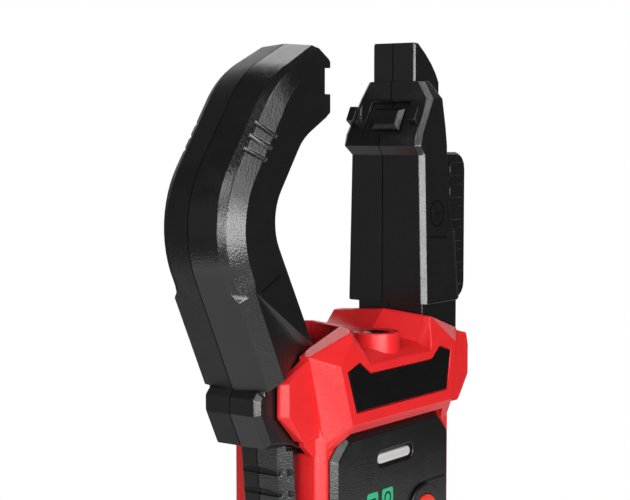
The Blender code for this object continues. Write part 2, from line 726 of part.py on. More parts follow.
def make_front_housing(root):
    outline = body_outline(0.0, CAP_FOOT_HEIGHT)
    chamfered = body_outline(BODY_SIDE_CHAMFER, CAP_FOOT_HEIGHT)
    body = loft(
        [
            at_depth(outline, -SEAM_GAP / 2),
            at_depth(outline, -BODY_FRONT_DEPTH + BODY_SIDE_CHAMFER),
            at_depth(chamfered, -BODY_FRONT_DEPTH),
        ]
    )
    housing = piece("front_housing", body, RED_PLASTIC, root)
    join(housing, cap_front())
    for hand in (-1, 1):
        join(housing, guard(hand, -1))
    cut(housing, valley())
    recess = inset(panel_outline(), -CLEARANCE)
    cut(housing, prism(recess, -CAP_FRONT_DEPTH - CUT_MARGIN, PANEL_SEAT_Y))
    cut(housing, cavity(INSIDE_FRONT_Y, CUT_MARGIN))
    ring = [(NECK_FOOT, TORCH_RING_RADIUS), (TORCH_RING_TOP, TORCH_RING_RADIUS)]
    join(housing, turned(0.0, -TORCH_DEPTH, ring))
    for x, z in screw_places():
        join(housing, disc(x, z, SCREW_BOSS_RADIUS, INSIDE_FRONT_Y - WALL / 2, -CLEARANCE, SMALL_SIDES))
        cut(housing, disc(x, z, SCREW_SHANK_RADIUS + CLEARANCE, INSIDE_FRONT_Y, CUT_MARGIN, SMALL_SIDES))
    cut(housing, jaw_slot())
    cut(housing, neck_box(CLEARANCE))
    seat = SLOT_HALF_DEPTH + PIN_SEAT_DEPTH
    cut(housing, disc(PIVOT_X, PIVOT_Z, PIN_RADIUS + CLEARANCE, -seat, 0.0, SMALL_SIDES))
    torch_floor = TORCH_RING_TOP - TORCH_BORE_DEPTH
    torch_mouth = TORCH_RING_TOP + CUT_MARGIN
    bore_radius = TORCH_LENS_RADIUS + CLEARANCE
    cut(housing, turned(0.0, -TORCH_DEPTH, [(torch_floor, bore_radius), (torch_mouth, bore_radius)]))
    cut(housing, label_slab(label_outline(CLEARANCE), LABEL_THICKNESS + CLEARANCE, CUT_MARGIN))
    for outline in front_openings(CLEARANCE):
        cut(housing, prism(outline, -BODY_FRONT_DEPTH - CUT_MARGIN, INSIDE_FRONT_Y + CUT_MARGIN))
    for x, z in button_places():
        stem_hole = circle(x, z, BUTTON_STEM_RADIUS + CLEARANCE, SMALL_SIDES)
        cut(housing, prism(stem_hole, -BODY_FRONT_DEPTH - CUT_MARGIN, INSIDE_FRONT_Y + CUT_MARGIN))
    window = display_outline(-LCD_BORDER)
    cut(housing, prism(window, -BODY_FRONT_DEPTH - CUT_MARGIN, INSIDE_FRONT_Y + CUT_MARGIN))
    return housing


def tray_half_width():
    return BATTERY_SPACING * (BATTERY_COUNT - 1) / 2 + BATTERY_RADIUS + CLEARANCE + TRAY_WALL


def tray_span():
    """Lower and upper ends of the battery tray."""
    low = BATTERY_FOOT - CLEARANCE - TRAY_WALL
    high = BATTERY_FOOT + BATTERY_LENGTH + BATTERY_NUB_HEIGHT + CLEARANCE + TRAY_WALL
    return low, high


def battery_y():
    return INSIDE_REAR_Y - CLEARANCE - BATTERY_RADIUS


def tray_floor_y():
    return battery_y() - BATTERY_RADIUS - CLEARANCE


def door_outline(grow):
    low, high = tray_span()
    half = tray_half_width() - TRAY_WALL + grow
    foot = low - DOOR_TAIL - grow
    return rounded_rectangle(-half, half, foot, high - TRAY_WALL + grow, [DOOR_LAP] * 4)


def door_screw_z():
    return tray_span()[0] - DOOR_TAIL / 2


def make_rear_housing(root):
    outline = body_outline(0.0, CAP_FOOT_HEIGHT)
    chamfered = body_outline(BODY_SIDE_CHAMFER, CAP_FOOT_HEIGHT)
    body = loft(
        [
            at_depth(outline, SEAM_GAP / 2),
            at_depth(outline, BODY_REAR_DEPTH - BODY_SIDE_CHAMFER),
            at_depth(chamfered, BODY_REAR_DEPTH),
        ]
    )
    housing = piece("rear_housing", body, RED_PLASTIC, root)
    join(housing, cap_rear())
    for hand in (-1, 1):
        join(housing, guard(hand, 1))
    cut(housing, valley())
    cut(housing, cavity(-CUT_MARGIN, INSIDE_REAR_Y))
    head_seat = BODY_REAR_DEPTH - SCREW_HEAD_HEIGHT - 2 * CLEARANCE
    head_hole = SCREW_HEAD_RADIUS + CLEARANCE
    shank_hole = SCREW_SHANK_RADIUS + CLEARANCE
    for x, z in screw_places():
        join(housing, disc(x, z, SCREW_BOSS_RADIUS, CLEARANCE, BODY_REAR_DEPTH - WALL / 2, SMALL_SIDES))
        cut(housing, disc(x, z, shank_hole, -CUT_MARGIN, BODY_REAR_DEPTH, SMALL_SIDES))
        cut(housing, disc(x, z, head_hole, head_seat, BODY_REAR_DEPTH + CUT_MARGIN, SMALL_SIDES))
    cut(housing, jaw_slot())
    cut(housing, neck_box(CLEARANCE))
    seat = SLOT_HALF_DEPTH + PIN_SEAT_DEPTH
    cut(housing, disc(PIVOT_X, PIVOT_Z, PIN_RADIUS + CLEARANCE, 0.0, seat, SMALL_SIDES))
    doorway = door_outline(CLEARANCE)
    cut(housing, prism(doorway, INSIDE_REAR_Y - CUT_MARGIN, BODY_REAR_DEPTH + CUT_MARGIN))
    for x in (-JACK_X, JACK_X):
        low = -BODY_LENGTH - CUT_MARGIN
        high = -BODY_LENGTH + WALL + CUT_MARGIN
        radius = JACK_RADIUS + CLEARANCE
        cut(housing, turned(x, JACK_DEPTH, [(low, radius), (high, radius)]))
    return housing


def panel_outline():
    half = PANEL_HALF_WIDTH
    foot_cut = PANEL_CORNER_CUT
    return [
        (-half + foot_cut, PANEL_FOOT),
        (half - foot_cut, PANEL_FOOT),
        (half, PANEL_FOOT + foot_cut),
        (half, -PANEL_CORNER_CUT),
        (half - PANEL_CORNER_CUT, 0.0),
        (-half + PANEL_CORNER_CUT, 0.0),
        (-half, -PANEL_CORNER_CUT),
        (-half, PANEL_FOOT + foot_cut),
    ]


def make_front_panel(root):
    outline = panel_outline()
    plate = loft([at_depth(outline, PANEL_BACK_Y), at_depth(inset(outline, PANEL_BEVEL), PANEL_FACE_Y)])
    panel = piece("front_panel", plate, PANEL_PLASTIC, root)
    front = PANEL_FACE_Y - CUT_MARGIN
    back = PANEL_BACK_Y + CUT_MARGIN
    for outline in front_openings(CLEARANCE):
        cut(panel, prism(outline, front, back))
    cut(panel, prism(pill_outline(PILL_RIM), front, PANEL_FACE_Y + PILL_RIM_DEPTH))
    for x, z in button_places():
        cut(panel, disc(x, z, BUTTON_RADIUS + CLEARANCE, front, back))
    cut(panel, prism(display_outline(CLEARANCE), front, back))


def make_display(root):
    outline = display_outline(0.0)
    glass = prism(outline, PANEL_BACK_Y, PANEL_BACK_Y - LCD_GLASS_THICKNESS)
    piece("lcd_window", glass, CLEAR_PLASTIC, root)
    module = prism(outline, INSIDE_FRONT_Y + CLEARANCE, LCD_BACK_Y)
    piece("lcd_module", module, DISPLAY_GREY, root)


def make_main_board(root):
    low = (-BOARD_HALF_WIDTH, BOARD_FRONT_Y, BOARD_FOOT)
    high = (BOARD_HALF_WIDTH, BOARD_BACK_Y, BOARD_TOP)
    board = piece("main_board", box(low, high), BOARD_GREEN, root)
    front = BOARD_FRONT_Y - CUT_MARGIN
    for x, z in screw_places():
        cut(board, disc(x, z, SCREW_BOSS_RADIUS + CLEARANCE, front, BOARD_BACK_Y + CUT_MARGIN))
    start = BOARD_BACK_Y + CLEARANCE
    buzzer = disc(BUZZER_X, BUZZER_Z, BUZZER_RADIUS, start, start + BUZZER_HEIGHT)
    smooth(piece("buzzer", buzzer, BLACK_PLASTIC, root))


def make_selector(root):
    """The dial knob: a bevelled disc with a grip bar across it and a shaft to the board."""
    hub = empty("selector_axis", (0.0, 0.0, DIAL_Z), root)
    back = PANEL_FACE_Y - RUNNING_GAP
    face = back - DIAL_HEIGHT
    steps = [(back, DIAL_RADIUS), (face + DIAL_BEVEL, DIAL_RADIUS), (face, DIAL_RADIUS - DIAL_BEVEL)]
    knob = piece("selector_knob", turned_front(0.0, 0.0, steps, DIAL_SIDES), BLACK_PLASTIC, hub)
    reach = DIAL_RADIUS - DIAL_BEVEL
    half = DIAL_GRIP_HALF_WIDTH
    shoulder = reach - half
    grip = [(0.0, reach), (half, shoulder), (half, -shoulder), (-half, -shoulder), (-half, shoulder)]
    join(knob, chamfered_prism(grip, face + DIAL_BEVEL, face - DIAL_GRIP_HEIGHT, DIAL_BEVEL))
    shaft_end = BOARD_FRONT_Y - CLEARANCE
    join(knob, disc(0.0, 0.0, DIAL_SHAFT_RADIUS, back - DIAL_BEVEL, shaft_end, SMALL_SIDES))


def make_button(name, x, z, finish, root):
    """A round push button with its stem and the fixed ring round it."""
    axis = empty(f"{name}_axis", (x, PANEL_FACE_Y, z), root)
    face = -BUTTON_RISE
    seat = PANEL_SEAT_Y - CLEARANCE - BUTTON_TRAVEL - PANEL_FACE_Y
    stem_end = BOARD_FRONT_Y - CLEARANCE - BUTTON_TRAVEL - PANEL_FACE_Y
    rim = DIAL_BEVEL / 2
    steps = [
        (stem_end, BUTTON_STEM_RADIUS),
        (seat, BUTTON_STEM_RADIUS),
        (seat, BUTTON_RADIUS),
        (face + rim, BUTTON_RADIUS),
        (face, BUTTON_RADIUS - rim),
    ]
    button = piece(name, turned_front(0.0, 0.0, steps), finish, axis)
    smooth(button)
    start = PANEL_FACE_Y - CLEARANCE
    inner = BUTTON_RADIUS + CLEARANCE
    outer = inner + BEZEL_WIDTH
    bevel = BEZEL_HEIGHT / 2
    ring_steps = [(start, outer), (start - bevel, outer), (start - BEZEL_HEIGHT, outer - bevel)]
    ring = piece(f"{name}_ring", turned_front(x, z, ring_steps), BLACK_PLASTIC, root)
    cut(ring, disc(x, z, inner, start - CUT_MARGIN, start + CUT_MARGIN))


def make_light_pipe(root):
    face = PANEL_FACE_Y + PILL_SINK
    back = BOARD_FRONT_Y - CLEARANCE
    pipe = chamfered_prism(pill_outline(0.0), back, face, PILL_BEVEL)
    piece("indicator_light_pipe", pipe, PALE_PLASTIC, root)


def make_torch(root):
    lens_top = TORCH_RING_TOP - TORCH_LENS_SINK
    lens_foot = lens_top - TORCH_LENS_THICKNESS
    lens = turned(0.0, -TORCH_DEPTH, [(lens_foot, TORCH_LENS_RADIUS), (lens_top, TORCH_LENS_RADIUS)])
    smooth(piece("torch_lens", lens, CLEAR_PLASTIC, root))
    floor = TORCH_RING_TOP - TORCH_BORE_DEPTH + CLEARANCE
    steps = [
        (floor, TORCH_LENS_RADIUS),
        (floor + TORCH_LENS_THICKNESS, TORCH_LENS_RADIUS),
        (floor + TORCH_LENS_THICKNESS, TORCH_LED_RADIUS),
        (floor + TORCH_LED_HEIGHT - TORCH_LED_DOME, TORCH_LED_RADIUS),
        (floor + TORCH_LED_HEIGHT, TORCH_LED_DOME),
    ]
    smooth(piece("torch_led", turned(0.0, -TORCH_DEPTH, steps), PALE_PLASTIC, root))


def make_label(root):
    piece("label_plate", label_slab(label_outline(), LABEL_THICKNESS, 0.0), PANEL_PLASTIC, root)


def section(inner, outer, profile, side):
    """A jaw section between two points: profile gives (from inner or outer, distance, depth)."""
    across = (outer - inner).normalized()
    points = []
    for edge, distance, depth in profile:
        base = inner + across * distance if edge == "inner" else outer - across * distance
        points.append(Vector((base.x, side * depth, base.z)))
    return points


def arch_profile(depth, share=1.0):
    """Two outer chamfer steps, drawn smaller by a share, and one inner chamfer."""
    step_1 = JAW_DRAFT + JAW_STEP_1_WIDTH * share
    return [
        ("inner", 0.0, SEAM_GAP / 2),
        ("inner", JAW_DRAFT, depth - JAW_INNER_CHAMFER),
        ("inner", JAW_DRAFT + JAW_INNER_CHAMFER, depth),
        ("outer", step_1 + JAW_STEP_2_WIDTH * share, depth),
        ("outer", step_1, depth - JAW_STEP_2_DEPTH * share),
        ("outer", JAW_DRAFT, depth - (JAW_STEP_2_DEPTH + JAW_STEP_1_DEPTH) * share),
        ("outer", 0.0, SEAM_GAP / 2),
    ]


def leg_profile(depth):
    """One flat chamfer on the outer side, with its middle point on the chamfer."""
    edge = JAW_DRAFT + JAW_LEG_CHAMFER_WIDTH
    middle = JAW_DRAFT + JAW_LEG_CHAMFER_WIDTH / 2
    profile = arch_profile(depth)
    profile[3] = ("outer", edge, depth)
    profile[4] = ("outer", middle, depth - JAW_LEG_CHAMFER_DEPTH / 2)
    profile[5] = ("outer", JAW_DRAFT, depth - JAW_LEG_CHAMFER_DEPTH)
    return profile


def hollow_profile(depth):
    """The shell's inside: a plain channel that opens at the seam."""
    inner_wall = JAW_SHELL_WALL + JAW_DRAFT
    outer_wall = JAW_SHELL_WALL + JAW_DRAFT + JAW_STEP_1_WIDTH
    floor = depth - JAW_SHELL_WALL - JAW_STEP_2_DEPTH / 2
    return [
        ("inner", inner_wall, -CUT_MARGIN),
        ("inner", inner_wall, floor),
        ("outer", outer_wall, floor),
        ("outer", outer_wall, -CUT_MARGIN),
    ]


def leg_outer_x(z, foot_x, top_x, foot, top):
    return foot_x + (top_x - foot_x) * (z - foot) / (top - foot)


def ridge_height():
    """Height of the cap's ridge beside the jaw's slot, which the closed jaw's foot clears."""
    drop = (CAP_RIDGE_HEIGHT - CAP_REAR_PEAK_HEIGHT) * SLOT_HALF_DEPTH / BODY_REAR_DEPTH
    return CAP_RIDGE_HEIGHT - drop


def moving_stations():
    """Inner and outer edges of the moving jaw at the seam, drawn closed, from its foot to its tip."""
    stations = []
    for z in (JAW_FOOT, LEG_CHAMFER_TOP, LEG_CHAMFER_TOP + CHAMFER_CHANGE):
        outer = leg_outer_x(z, MOVING_OUTER_FOOT_X, MOVING_OUTER_TOP_X, JAW_FOOT, LEG_TOP)
        stations.append((Vector((MOVING_INNER_X, 0.0, z)), Vector((outer, 0.0, z))))
    stations[0][0].z = ridge_height() + RUNNING_GAP
    inner_centre = Vector((MOVING_INNER_X + ARCH_INNER_RADIUS, 0.0, LEG_TOP))
    outer_centre = Vector((MOVING_OUTER_TOP_X + ARCH_OUTER_RADIUS, 0.0, LEG_TOP))
    sweep = math.pi / 2 - ARCH_SLOPE
    for i in range(ARCH_STEPS + 1):
        turn = sweep * i / ARCH_STEPS
        ray = Vector((-math.cos(turn), 0.0, math.sin(turn)))
        stations.append((inner_centre + ray * ARCH_INNER_RADIUS, outer_centre + ray * ARCH_OUTER_RADIUS))
    climb = math.tan(ARCH_SLOPE)
    inner, outer = stations[-1]
    crest_inner = Vector((CREST_INNER_X, 0.0, inner.z + (CREST_INNER_X - inner.x) * climb))
    crest_outer = Vector((CREST_OUTER_X, 0.0, outer.z + (CREST_OUTER_X - outer.x) * climb))
    end = MATE_START + MATE_OUT * TIP_GAP
    tip_inner = end + MATE_ALONG * ((crest_inner.z - end.z) / MATE_ALONG.z)
    tip_outer = end + MATE_ALONG * ((crest_outer.z - CREST_DROP - end.z) / MATE_ALONG.z)
    inner_bend = bend(inner, crest_inner, tip_inner, CREST_INNER_BEND)
    outer_bend = bend(outer, crest_outer, tip_outer, CREST_OUTER_BEND)
    stations.extend(zip(inner_bend, outer_bend))
    stations.append((tip_inner, tip_outer))
    return stations


def bend(before, corner, after, reach):
    """Points of a rounded corner that starts and ends at a distance from it."""
    start = corner + (before - corner).normalized() * reach
    finish = corner + (after - corner).normalized() * reach
    points = []
    for i in range(CREST_STEPS + 1):
        share = i / CREST_STEPS
        points.append(start.lerp(corner, share).lerp(corner.lerp(finish, share), share))
    return points


def moving_chamfer_shares(count):
    """Size of the outer chamfers at each station: full up to the crest, where it shrinks."""
    bend_start = count - CREST_STEPS - 2
    shares = [1.0] * bend_start
    for i in range(CREST_STEPS + 1):
        shares.append(1.0 + (CREST_CHAMFER_SHARE - 1.0) * i / CREST_STEPS)
    shares.append(TIP_CHAMFER_SHARE)
    return shares


def fixed_stations():
    """Inner and outer edges of the fixed jaw at the seam, from its foot to the top of its head."""
    stations = []
    for z in (FIXED_FOOT, FIXED_CHAMFER_TOP, FIXED_CHAMFER_TOP + CHAMFER_CHANGE, HEAD_FOOT):
        outer = leg_outer_x(z, FIXED_OUTER_FOOT_X, FIXED_OUTER_TOP_X, FIXED_FOOT, HEAD_FOOT)
        stations.append((Vector((FIXED_INNER_X, 0.0, z)), Vector((outer, 0.0, z))))
    ledge = HEAD_FOOT + HEAD_LEDGE_HEIGHT
    head_outer = FIXED_OUTER_TOP_X
    stations.append((Vector((FIXED_INNER_X - HEAD_LEDGE, 0.0, ledge)), Vector((head_outer, 0.0, ledge))))
    stations.append((MATE_START, Vector((head_outer - JAW_DRAFT, 0.0, MATE_FOOT + HEAD_LEDGE))))
    top_outer = MATE_TOP.x + HEAD_TOP_WIDTH
    middle_outer = (head_outer + top_outer) / 2
    stations.append((MATE_TOP, Vector((middle_outer, 0.0, MATE_TOP.z))))
    stations.append((Vector((MATE_TOP.x, 0.0, HEAD_TOP)), Vector((top_outer, 0.0, HEAD_TOP))))
    return stations


def fixed_neck(z):
    """Inner and outer edges of the fixed jaw's neck at a height."""
    return Vector((FIXED_INNER_X + NECK_INNER_INSET, 0.0, z)), Vector((FIXED_OUTER_FOOT_X, 0.0, z))


def jaw_shell(stations, leg_count, depths, shares, side):
    """Lofts a half shell: the first stations have the leg's section, the others the arch's."""
    loops = []
    for i, (inner, outer) in enumerate(stations):
        profile = leg_profile(depths[i]) if i < leg_count else arch_profile(depths[i], shares[i])
        loops.append(section(inner, outer, profile, side))
    return loft(loops)


def channel(stations, depth, side):
    return loft([section(inner, outer, hollow_profile(depth), side) for inner, outer in stations])


def bar(stations, half_width, half_depth):
    """A rectangular bar along the middle of a jaw."""
    loops = []
    for inner, outer in stations:
        middle = (inner + outer) / 2
        across = (outer - inner).normalized() * half_width
        loops.append(
            [
                middle - across - DEPTH_AXIS * half_depth,
                middle + across - DEPTH_AXIS * half_depth,
                middle + across + DEPTH_AXIS * half_depth,
                middle - across + DEPTH_AXIS * half_depth,
            ]
        )
    return loft(loops)


def between(station_a, station_b, share):
    return tuple(a.lerp(b, share) for a, b in zip(station_a, station_b))


def mate_block(length, half_depth, slope, base, top):
    """A block on the mating face, from base to top along its normal, drawn in by slope at the top."""
    loops = []
    for level, draw_in in ((base, 0.0), (top, slope)):
        along = MATE_ALONG * (length / 2 - draw_in)
        deep = DEPTH_AXIS * (half_depth - draw_in)
        centre = MATE_MIDDLE + MATE_OUT * level
        corners = (-along - deep, along - deep, along + deep, -along + deep)
        loops.append([centre + corner for corner in corners])
    return loft(loops)


def ear_block(depth, side):
    """The ear at the edge of the fixed jaw's mating face."""
    outer_y = side * (depth - JAW_INNER_CHAMFER)
    inner_y = outer_y - side * EAR_THICKNESS
    return ear_loft(inner_y, outer_y, -CUT_MARGIN, EAR_REACH, EAR_HEIGHT, EAR_TIP_HEIGHT)


def ear_notch(depth, side):
    """The notch of the moving tip that an ear closes into."""
    outer_y = side * (depth + CUT_MARGIN)
    inner_y = side * (depth - JAW_INNER_CHAMFER - EAR_THICKNESS - RUNNING_GAP)
    height = EAR_HEIGHT + 2 * RUNNING_GAP
    return ear_loft(inner_y, outer_y, -CUT_MARGIN, EAR_REACH + RUNNING_GAP, height, height)


def ear_loft(inner_y, outer_y, base, top, base_height, top_height):
    """A block across the mating face's edge, as high as given at its base and its top."""
    loops = []
    for level, height in ((base, base_height), (top, top_height)):
        centre = MATE_MIDDLE + MATE_OUT * level
        up = MATE_ALONG * (height / 2)
        ends = ((-up, inner_y), (up, inner_y), (up, outer_y), (-up, outer_y))
        loops.append([centre + end + DEPTH_AXIS * y for end, y in ends])
    return loft(loops)


def shifted(bm, offset):
    bmesh.ops.translate(bm, verts=bm.verts, vec=offset)
    return bm


def closed_outline(points):
    """Turns points drawn on the open jaw back to the closed position."""
    cosine = math.cos(JAW_OPEN_ANGLE)
    sine = math.sin(JAW_OPEN_ANGLE)
    result = []
    for x, z in points:
        dx = x - PIVOT_X
        dz = z - PIVOT_Z
        result.append((PIVOT_X + dx * cosine + dz * sine, PIVOT_Z - dx * sine + dz * cosine))
    return result


def knuckle_outline():
    return closed_outline(
        [
            (KNUCKLE_SHOULDER_X, KNUCKLE_TOP),
            (KNUCKLE_OUT_X, KNUCKLE_SHOULDER),
            (KNUCKLE_OUT_X, KNUCKLE_WAIST),
            (KNUCKLE_FOOT_X, KNUCKLE_FOOT),
            (TRIGGER_INNER_X, KNUCKLE_FOOT - KNUCKLE_CHAMFER),
            (TRIGGER_INNER_X, KNUCKLE_TOP),
        ]
    )


def trigger_outline():
    rounding = (TRIGGER_INNER_X - TRIGGER_END_X) / 2
    return closed_outline(
        [
            (TRIGGER_TOP_X, KNUCKLE_FOOT + KNUCKLE_CHAMFER),
            (TRIGGER_END_X, TRIGGER_FOOT + rounding),
            (TRIGGER_END_X + rounding, TRIGGER_FOOT),
            (TRIGGER_INNER_X, TRIGGER_FOOT + rounding),
            (TRIGGER_INNER_X, KNUCKLE_FOOT + KNUCKLE_CHAMFER),
        ]
    )


def arm_outline():
    """The web from the jaw's foot to the hinge, inside the slot."""
    boss_side = PIVOT_X + HINGE_BOSS_RADIUS - RUNNING_GAP
    top = JAW_FOOT + CUT_MARGIN
    inner = MOVING_INNER_X - RUNNING_GAP
    trigger_root = closed_outline([(TRIGGER_TOP_X, KNUCKLE_FOOT)])[0]
    return [
        (MOVING_OUTER_FOOT_X + JAW_STEP_1_WIDTH, top),
        (inner, top),
        (inner, PIVOT_Z + HINGE_BOSS_RADIUS + RUNNING_GAP),
        (boss_side, PIVOT_Z + HINGE_BOSS_RADIUS / 2),
        (boss_side, PIVOT_Z - HINGE_BOSS_RADIUS / 2),
        (PIVOT_X, PIVOT_Z - HINGE_BOSS_RADIUS),
        trigger_root,
        (MOVING_OUTER_FOOT_X - JAW_STEP_1_WIDTH, JAW_FOOT / 2),
    ]


def chamfer_grooves(stations, depth, side):
    """Short grooves across the outer chamfer, below the crest."""
    first = stations[-CREST_STEPS - 3]
    last = stations[-CREST_STEPS - 2]
    length = (last[1] - first[1]).length
    along = (last[1] - first[1]).normalized()
    reach = JAW_DRAFT + JAW_STEP_1_WIDTH + JAW_STEP_2_WIDTH
    grooves = []
    for i in range(GROOVE_COUNT):
        inner, outer = between(first, last, (GROOVE_START + i * GROOVE_SPACING) / length)
        profile = [
            ("outer", JAW_DRAFT + JAW_STEP_1_WIDTH / 2, depth - JAW_STEP_2_DEPTH - GROOVE_DEPTH),
            ("outer", reach + GROOVE_DEPTH, depth - GROOVE_DEPTH / 2),
            ("outer", reach + GROOVE_DEPTH, depth + CUT_MARGIN),
            ("outer", JAW_DRAFT + JAW_STEP_1_WIDTH / 2, depth + CUT_MARGIN),
        ]
        loop = section(inner, outer, profile, side)
        half = along * (GROOVE_WIDTH / 2)
        grooves.append(loft([[point - half for point in loop], [point + half for point in loop]]))
    return grooves


def trigger_gaps(side):
    """Cutters between the ribs that wrap round the trigger's finger side."""
    cutters = []
    for i in range(RIB_COUNT):
        z = RIB_START - i * RIB_SPACING
        slope = (TRIGGER_END_X - TRIGGER_TOP_X) / (TRIGGER_FOOT - KNUCKLE_FOOT)
        face = TRIGGER_TOP_X + (z - KNUCKLE_FOOT) * slope + RIB_HEIGHT
        outside = face - 2 * CUT_MARGIN
        outline = [(outside, z - RIB_GAP), (face, z - RIB_GAP), (face, z), (outside, z)]
        reach = side * (ARM_HALF_DEPTH + CUT_MARGIN)
        cutters.append(prism(closed_outline(outline), -side * CUT_MARGIN, reach))
    return cutters


def make_moving_shell(name, depth, side, pivot):
    stations = moving_stations()
    back = -PIVOT
    count = len(stations)
    solid = jaw_shell(stations, 2, [depth] * count, moving_chamfer_shares(count), side)
    shell = piece(name, shifted(solid, back), BLACK_PLASTIC, pivot)
    seam = side * SEAM_GAP / 2
    trigger_depth = TRIGGER_FRONT_DEPTH if side < 0 else TRIGGER_REAR_DEPTH
    parts = (
        (arm_outline(), ARM_HALF_DEPTH, KNUCKLE_CHAMFER / 2),
        (knuckle_outline(), ARM_HALF_DEPTH, KNUCKLE_CHAMFER),
        (trigger_outline(), trigger_depth, TRIGGER_CHAMFER),
    )
    for outline, reach, chamfer in parts:
        join(shell, shifted(chamfered_prism(outline, seam, side * reach, chamfer), back))
    pin_end = side * (ARM_HALF_DEPTH + CUT_MARGIN)
    cut(shell, disc(0.0, 0.0, PIN_RADIUS + CLEARANCE, pin_end, -side * CUT_MARGIN, SMALL_SIDES))
    spring_room = side * SPRING_PITCH * (SPRING_TURNS + 1) / 2
    cut(shell, disc(0.0, 0.0, SPRING_POCKET_RADIUS, -side * CUT_MARGIN, spring_room, SMALL_SIDES))
    for groove in chamfer_grooves(stations, depth, side):
        cut(shell, shifted(groove, back))
    for gap in trigger_gaps(side):
        cut(shell, shifted(gap, back))
    cut(shell, shifted(tip_recess(), back))
    cut(shell, shifted(ear_notch(depth, side), back))
    cut(shell, shifted(beak_room(), back))
    hollow = stations[:-1] + [between(stations[-2], stations[-1], TIP_HOLLOW_SHARE)]
    cut(shell, shifted(channel(hollow, depth, side), back))
    return shell


def beak_room():
    """Room beside the moving tip for the upright part of the fixed jaw's head and its beak."""
    reach = JAW_FRONT_DEPTH + CUT_MARGIN
    left = MATE_TOP.x - RUNNING_GAP
    low = (left, -reach, MATE_TOP.z - CUT_MARGIN)
    high = (left + BEAK_FOOT_WIDTH, reach, BEAK_TOP)
    return box(low, high)


def tip_recess():
    """The window in the moving tip, cut from the mating face inwards."""
    return mate_block(WINDOW_HEIGHT, WINDOW_HALF_DEPTH, 0.0, -CUT_MARGIN, TIP_GAP + WINDOW_RECESS)


def coil_winding(name, leg, start, parent, offset):
    """A winding round a core's straight leg, from a distance above its foot."""
    length = (leg[1][1] - leg[0][1]).length
    ends = [between(*leg, start / length), between(*leg, (start + COIL_LENGTH) / length)]
    grow = COIL_THICKNESS + CLEARANCE
    outside = bar(ends, CORE_WIDTH / 2 + grow, CORE_HALF_DEPTH + grow)
    coil = piece(name, shifted(outside, offset), COPPER, parent)
    hole = bar(leg, CORE_WIDTH / 2 + CLEARANCE, CORE_HALF_DEPTH + CLEARANCE)
    cut(coil, shifted(hole, offset))


def make_moving_inside(pivot):
    back = -PIVOT
    stations = moving_stations()
    leg = stations[:2]
    length = (leg[1][1] - leg[0][1]).length
    end = between(stations[-2], stations[-1], TIP_CORE_SHARE)
    path = [between(*leg, CORE_START / length), *stations[1:-1], end]
    core = bar(path, CORE_WIDTH / 2, CORE_HALF_DEPTH)
    piece("moving_jaw_core", shifted(core, back), CORE_STEEL, pivot)
    coil_winding("moving_jaw_coil", leg, MOVING_COIL_START, pivot, back)
    height = WINDOW_HEIGHT - 2 * POLE_RIM
    half = WINDOW_HALF_DEPTH - POLE_RIM
    face = TIP_GAP + CLEARANCE
    cap = mate_block(height, half, 0.0, face, TIP_GAP + WINDOW_RECESS - CLEARANCE)
    piece("moving_jaw_pole_cap", shifted(cap, back), BLACK_PLASTIC, pivot)


def fin_outline():
    left = FIXED_OUTER_TOP_X - JAW_STEP_2_WIDTH
    return rounded_rectangle(left, FIN_OUTER_X, FIN_FOOT, FIN_TOP, [0.0, FIN_RADIUS, FIN_RADIUS, 0.0])


def fin_pads():
    """Outlines of the raised grip pads on the fin, evenly spaced a little above its middle."""
    middle = (FIN_FOOT + FIN_TOP) / 2 + PAD_RAISE
    right = FIN_OUTER_X - PAD_EDGE_GAP
    pads = []
    for i in range(PAD_COUNT):
        z = middle + (i - (PAD_COUNT - 1) / 2) * PAD_SPACING
        low = z - PAD_HEIGHT / 2
        high = z + PAD_HEIGHT / 2
        pads.append(rounded_rectangle(right - PAD_WIDTH, right, low, high, [PAD_RADIUS] * 4, 2))
    return pads


def beak(half_depth, side):
    """The fin-shaped tip above the head."""
    inner = MATE_TOP.x + JAW_DRAFT
    root = HEAD_TOP - BEAK_ROOT
    outline = [(inner + JAW_DRAFT, root), (inner + BEAK_FOOT_WIDTH, root)]
    for i in range(BEAK_STEPS + 1):
        share = i / BEAK_STEPS
        width = BEAK_FOOT_WIDTH + (BEAK_TOP_WIDTH - BEAK_FOOT_WIDTH) * share
        bulge = 4 * BEAK_BULGE * share * (1 - share)
        outline.append((inner + width + bulge, HEAD_TOP + (BEAK_TOP - HEAD_TOP) * share))
    outline += [(inner, BEAK_TOP), (inner, HEAD_TOP)]
    return chamfered_prism(outline, side * SEAM_GAP / 2, side * half_depth, BEAK_CHAMFER)


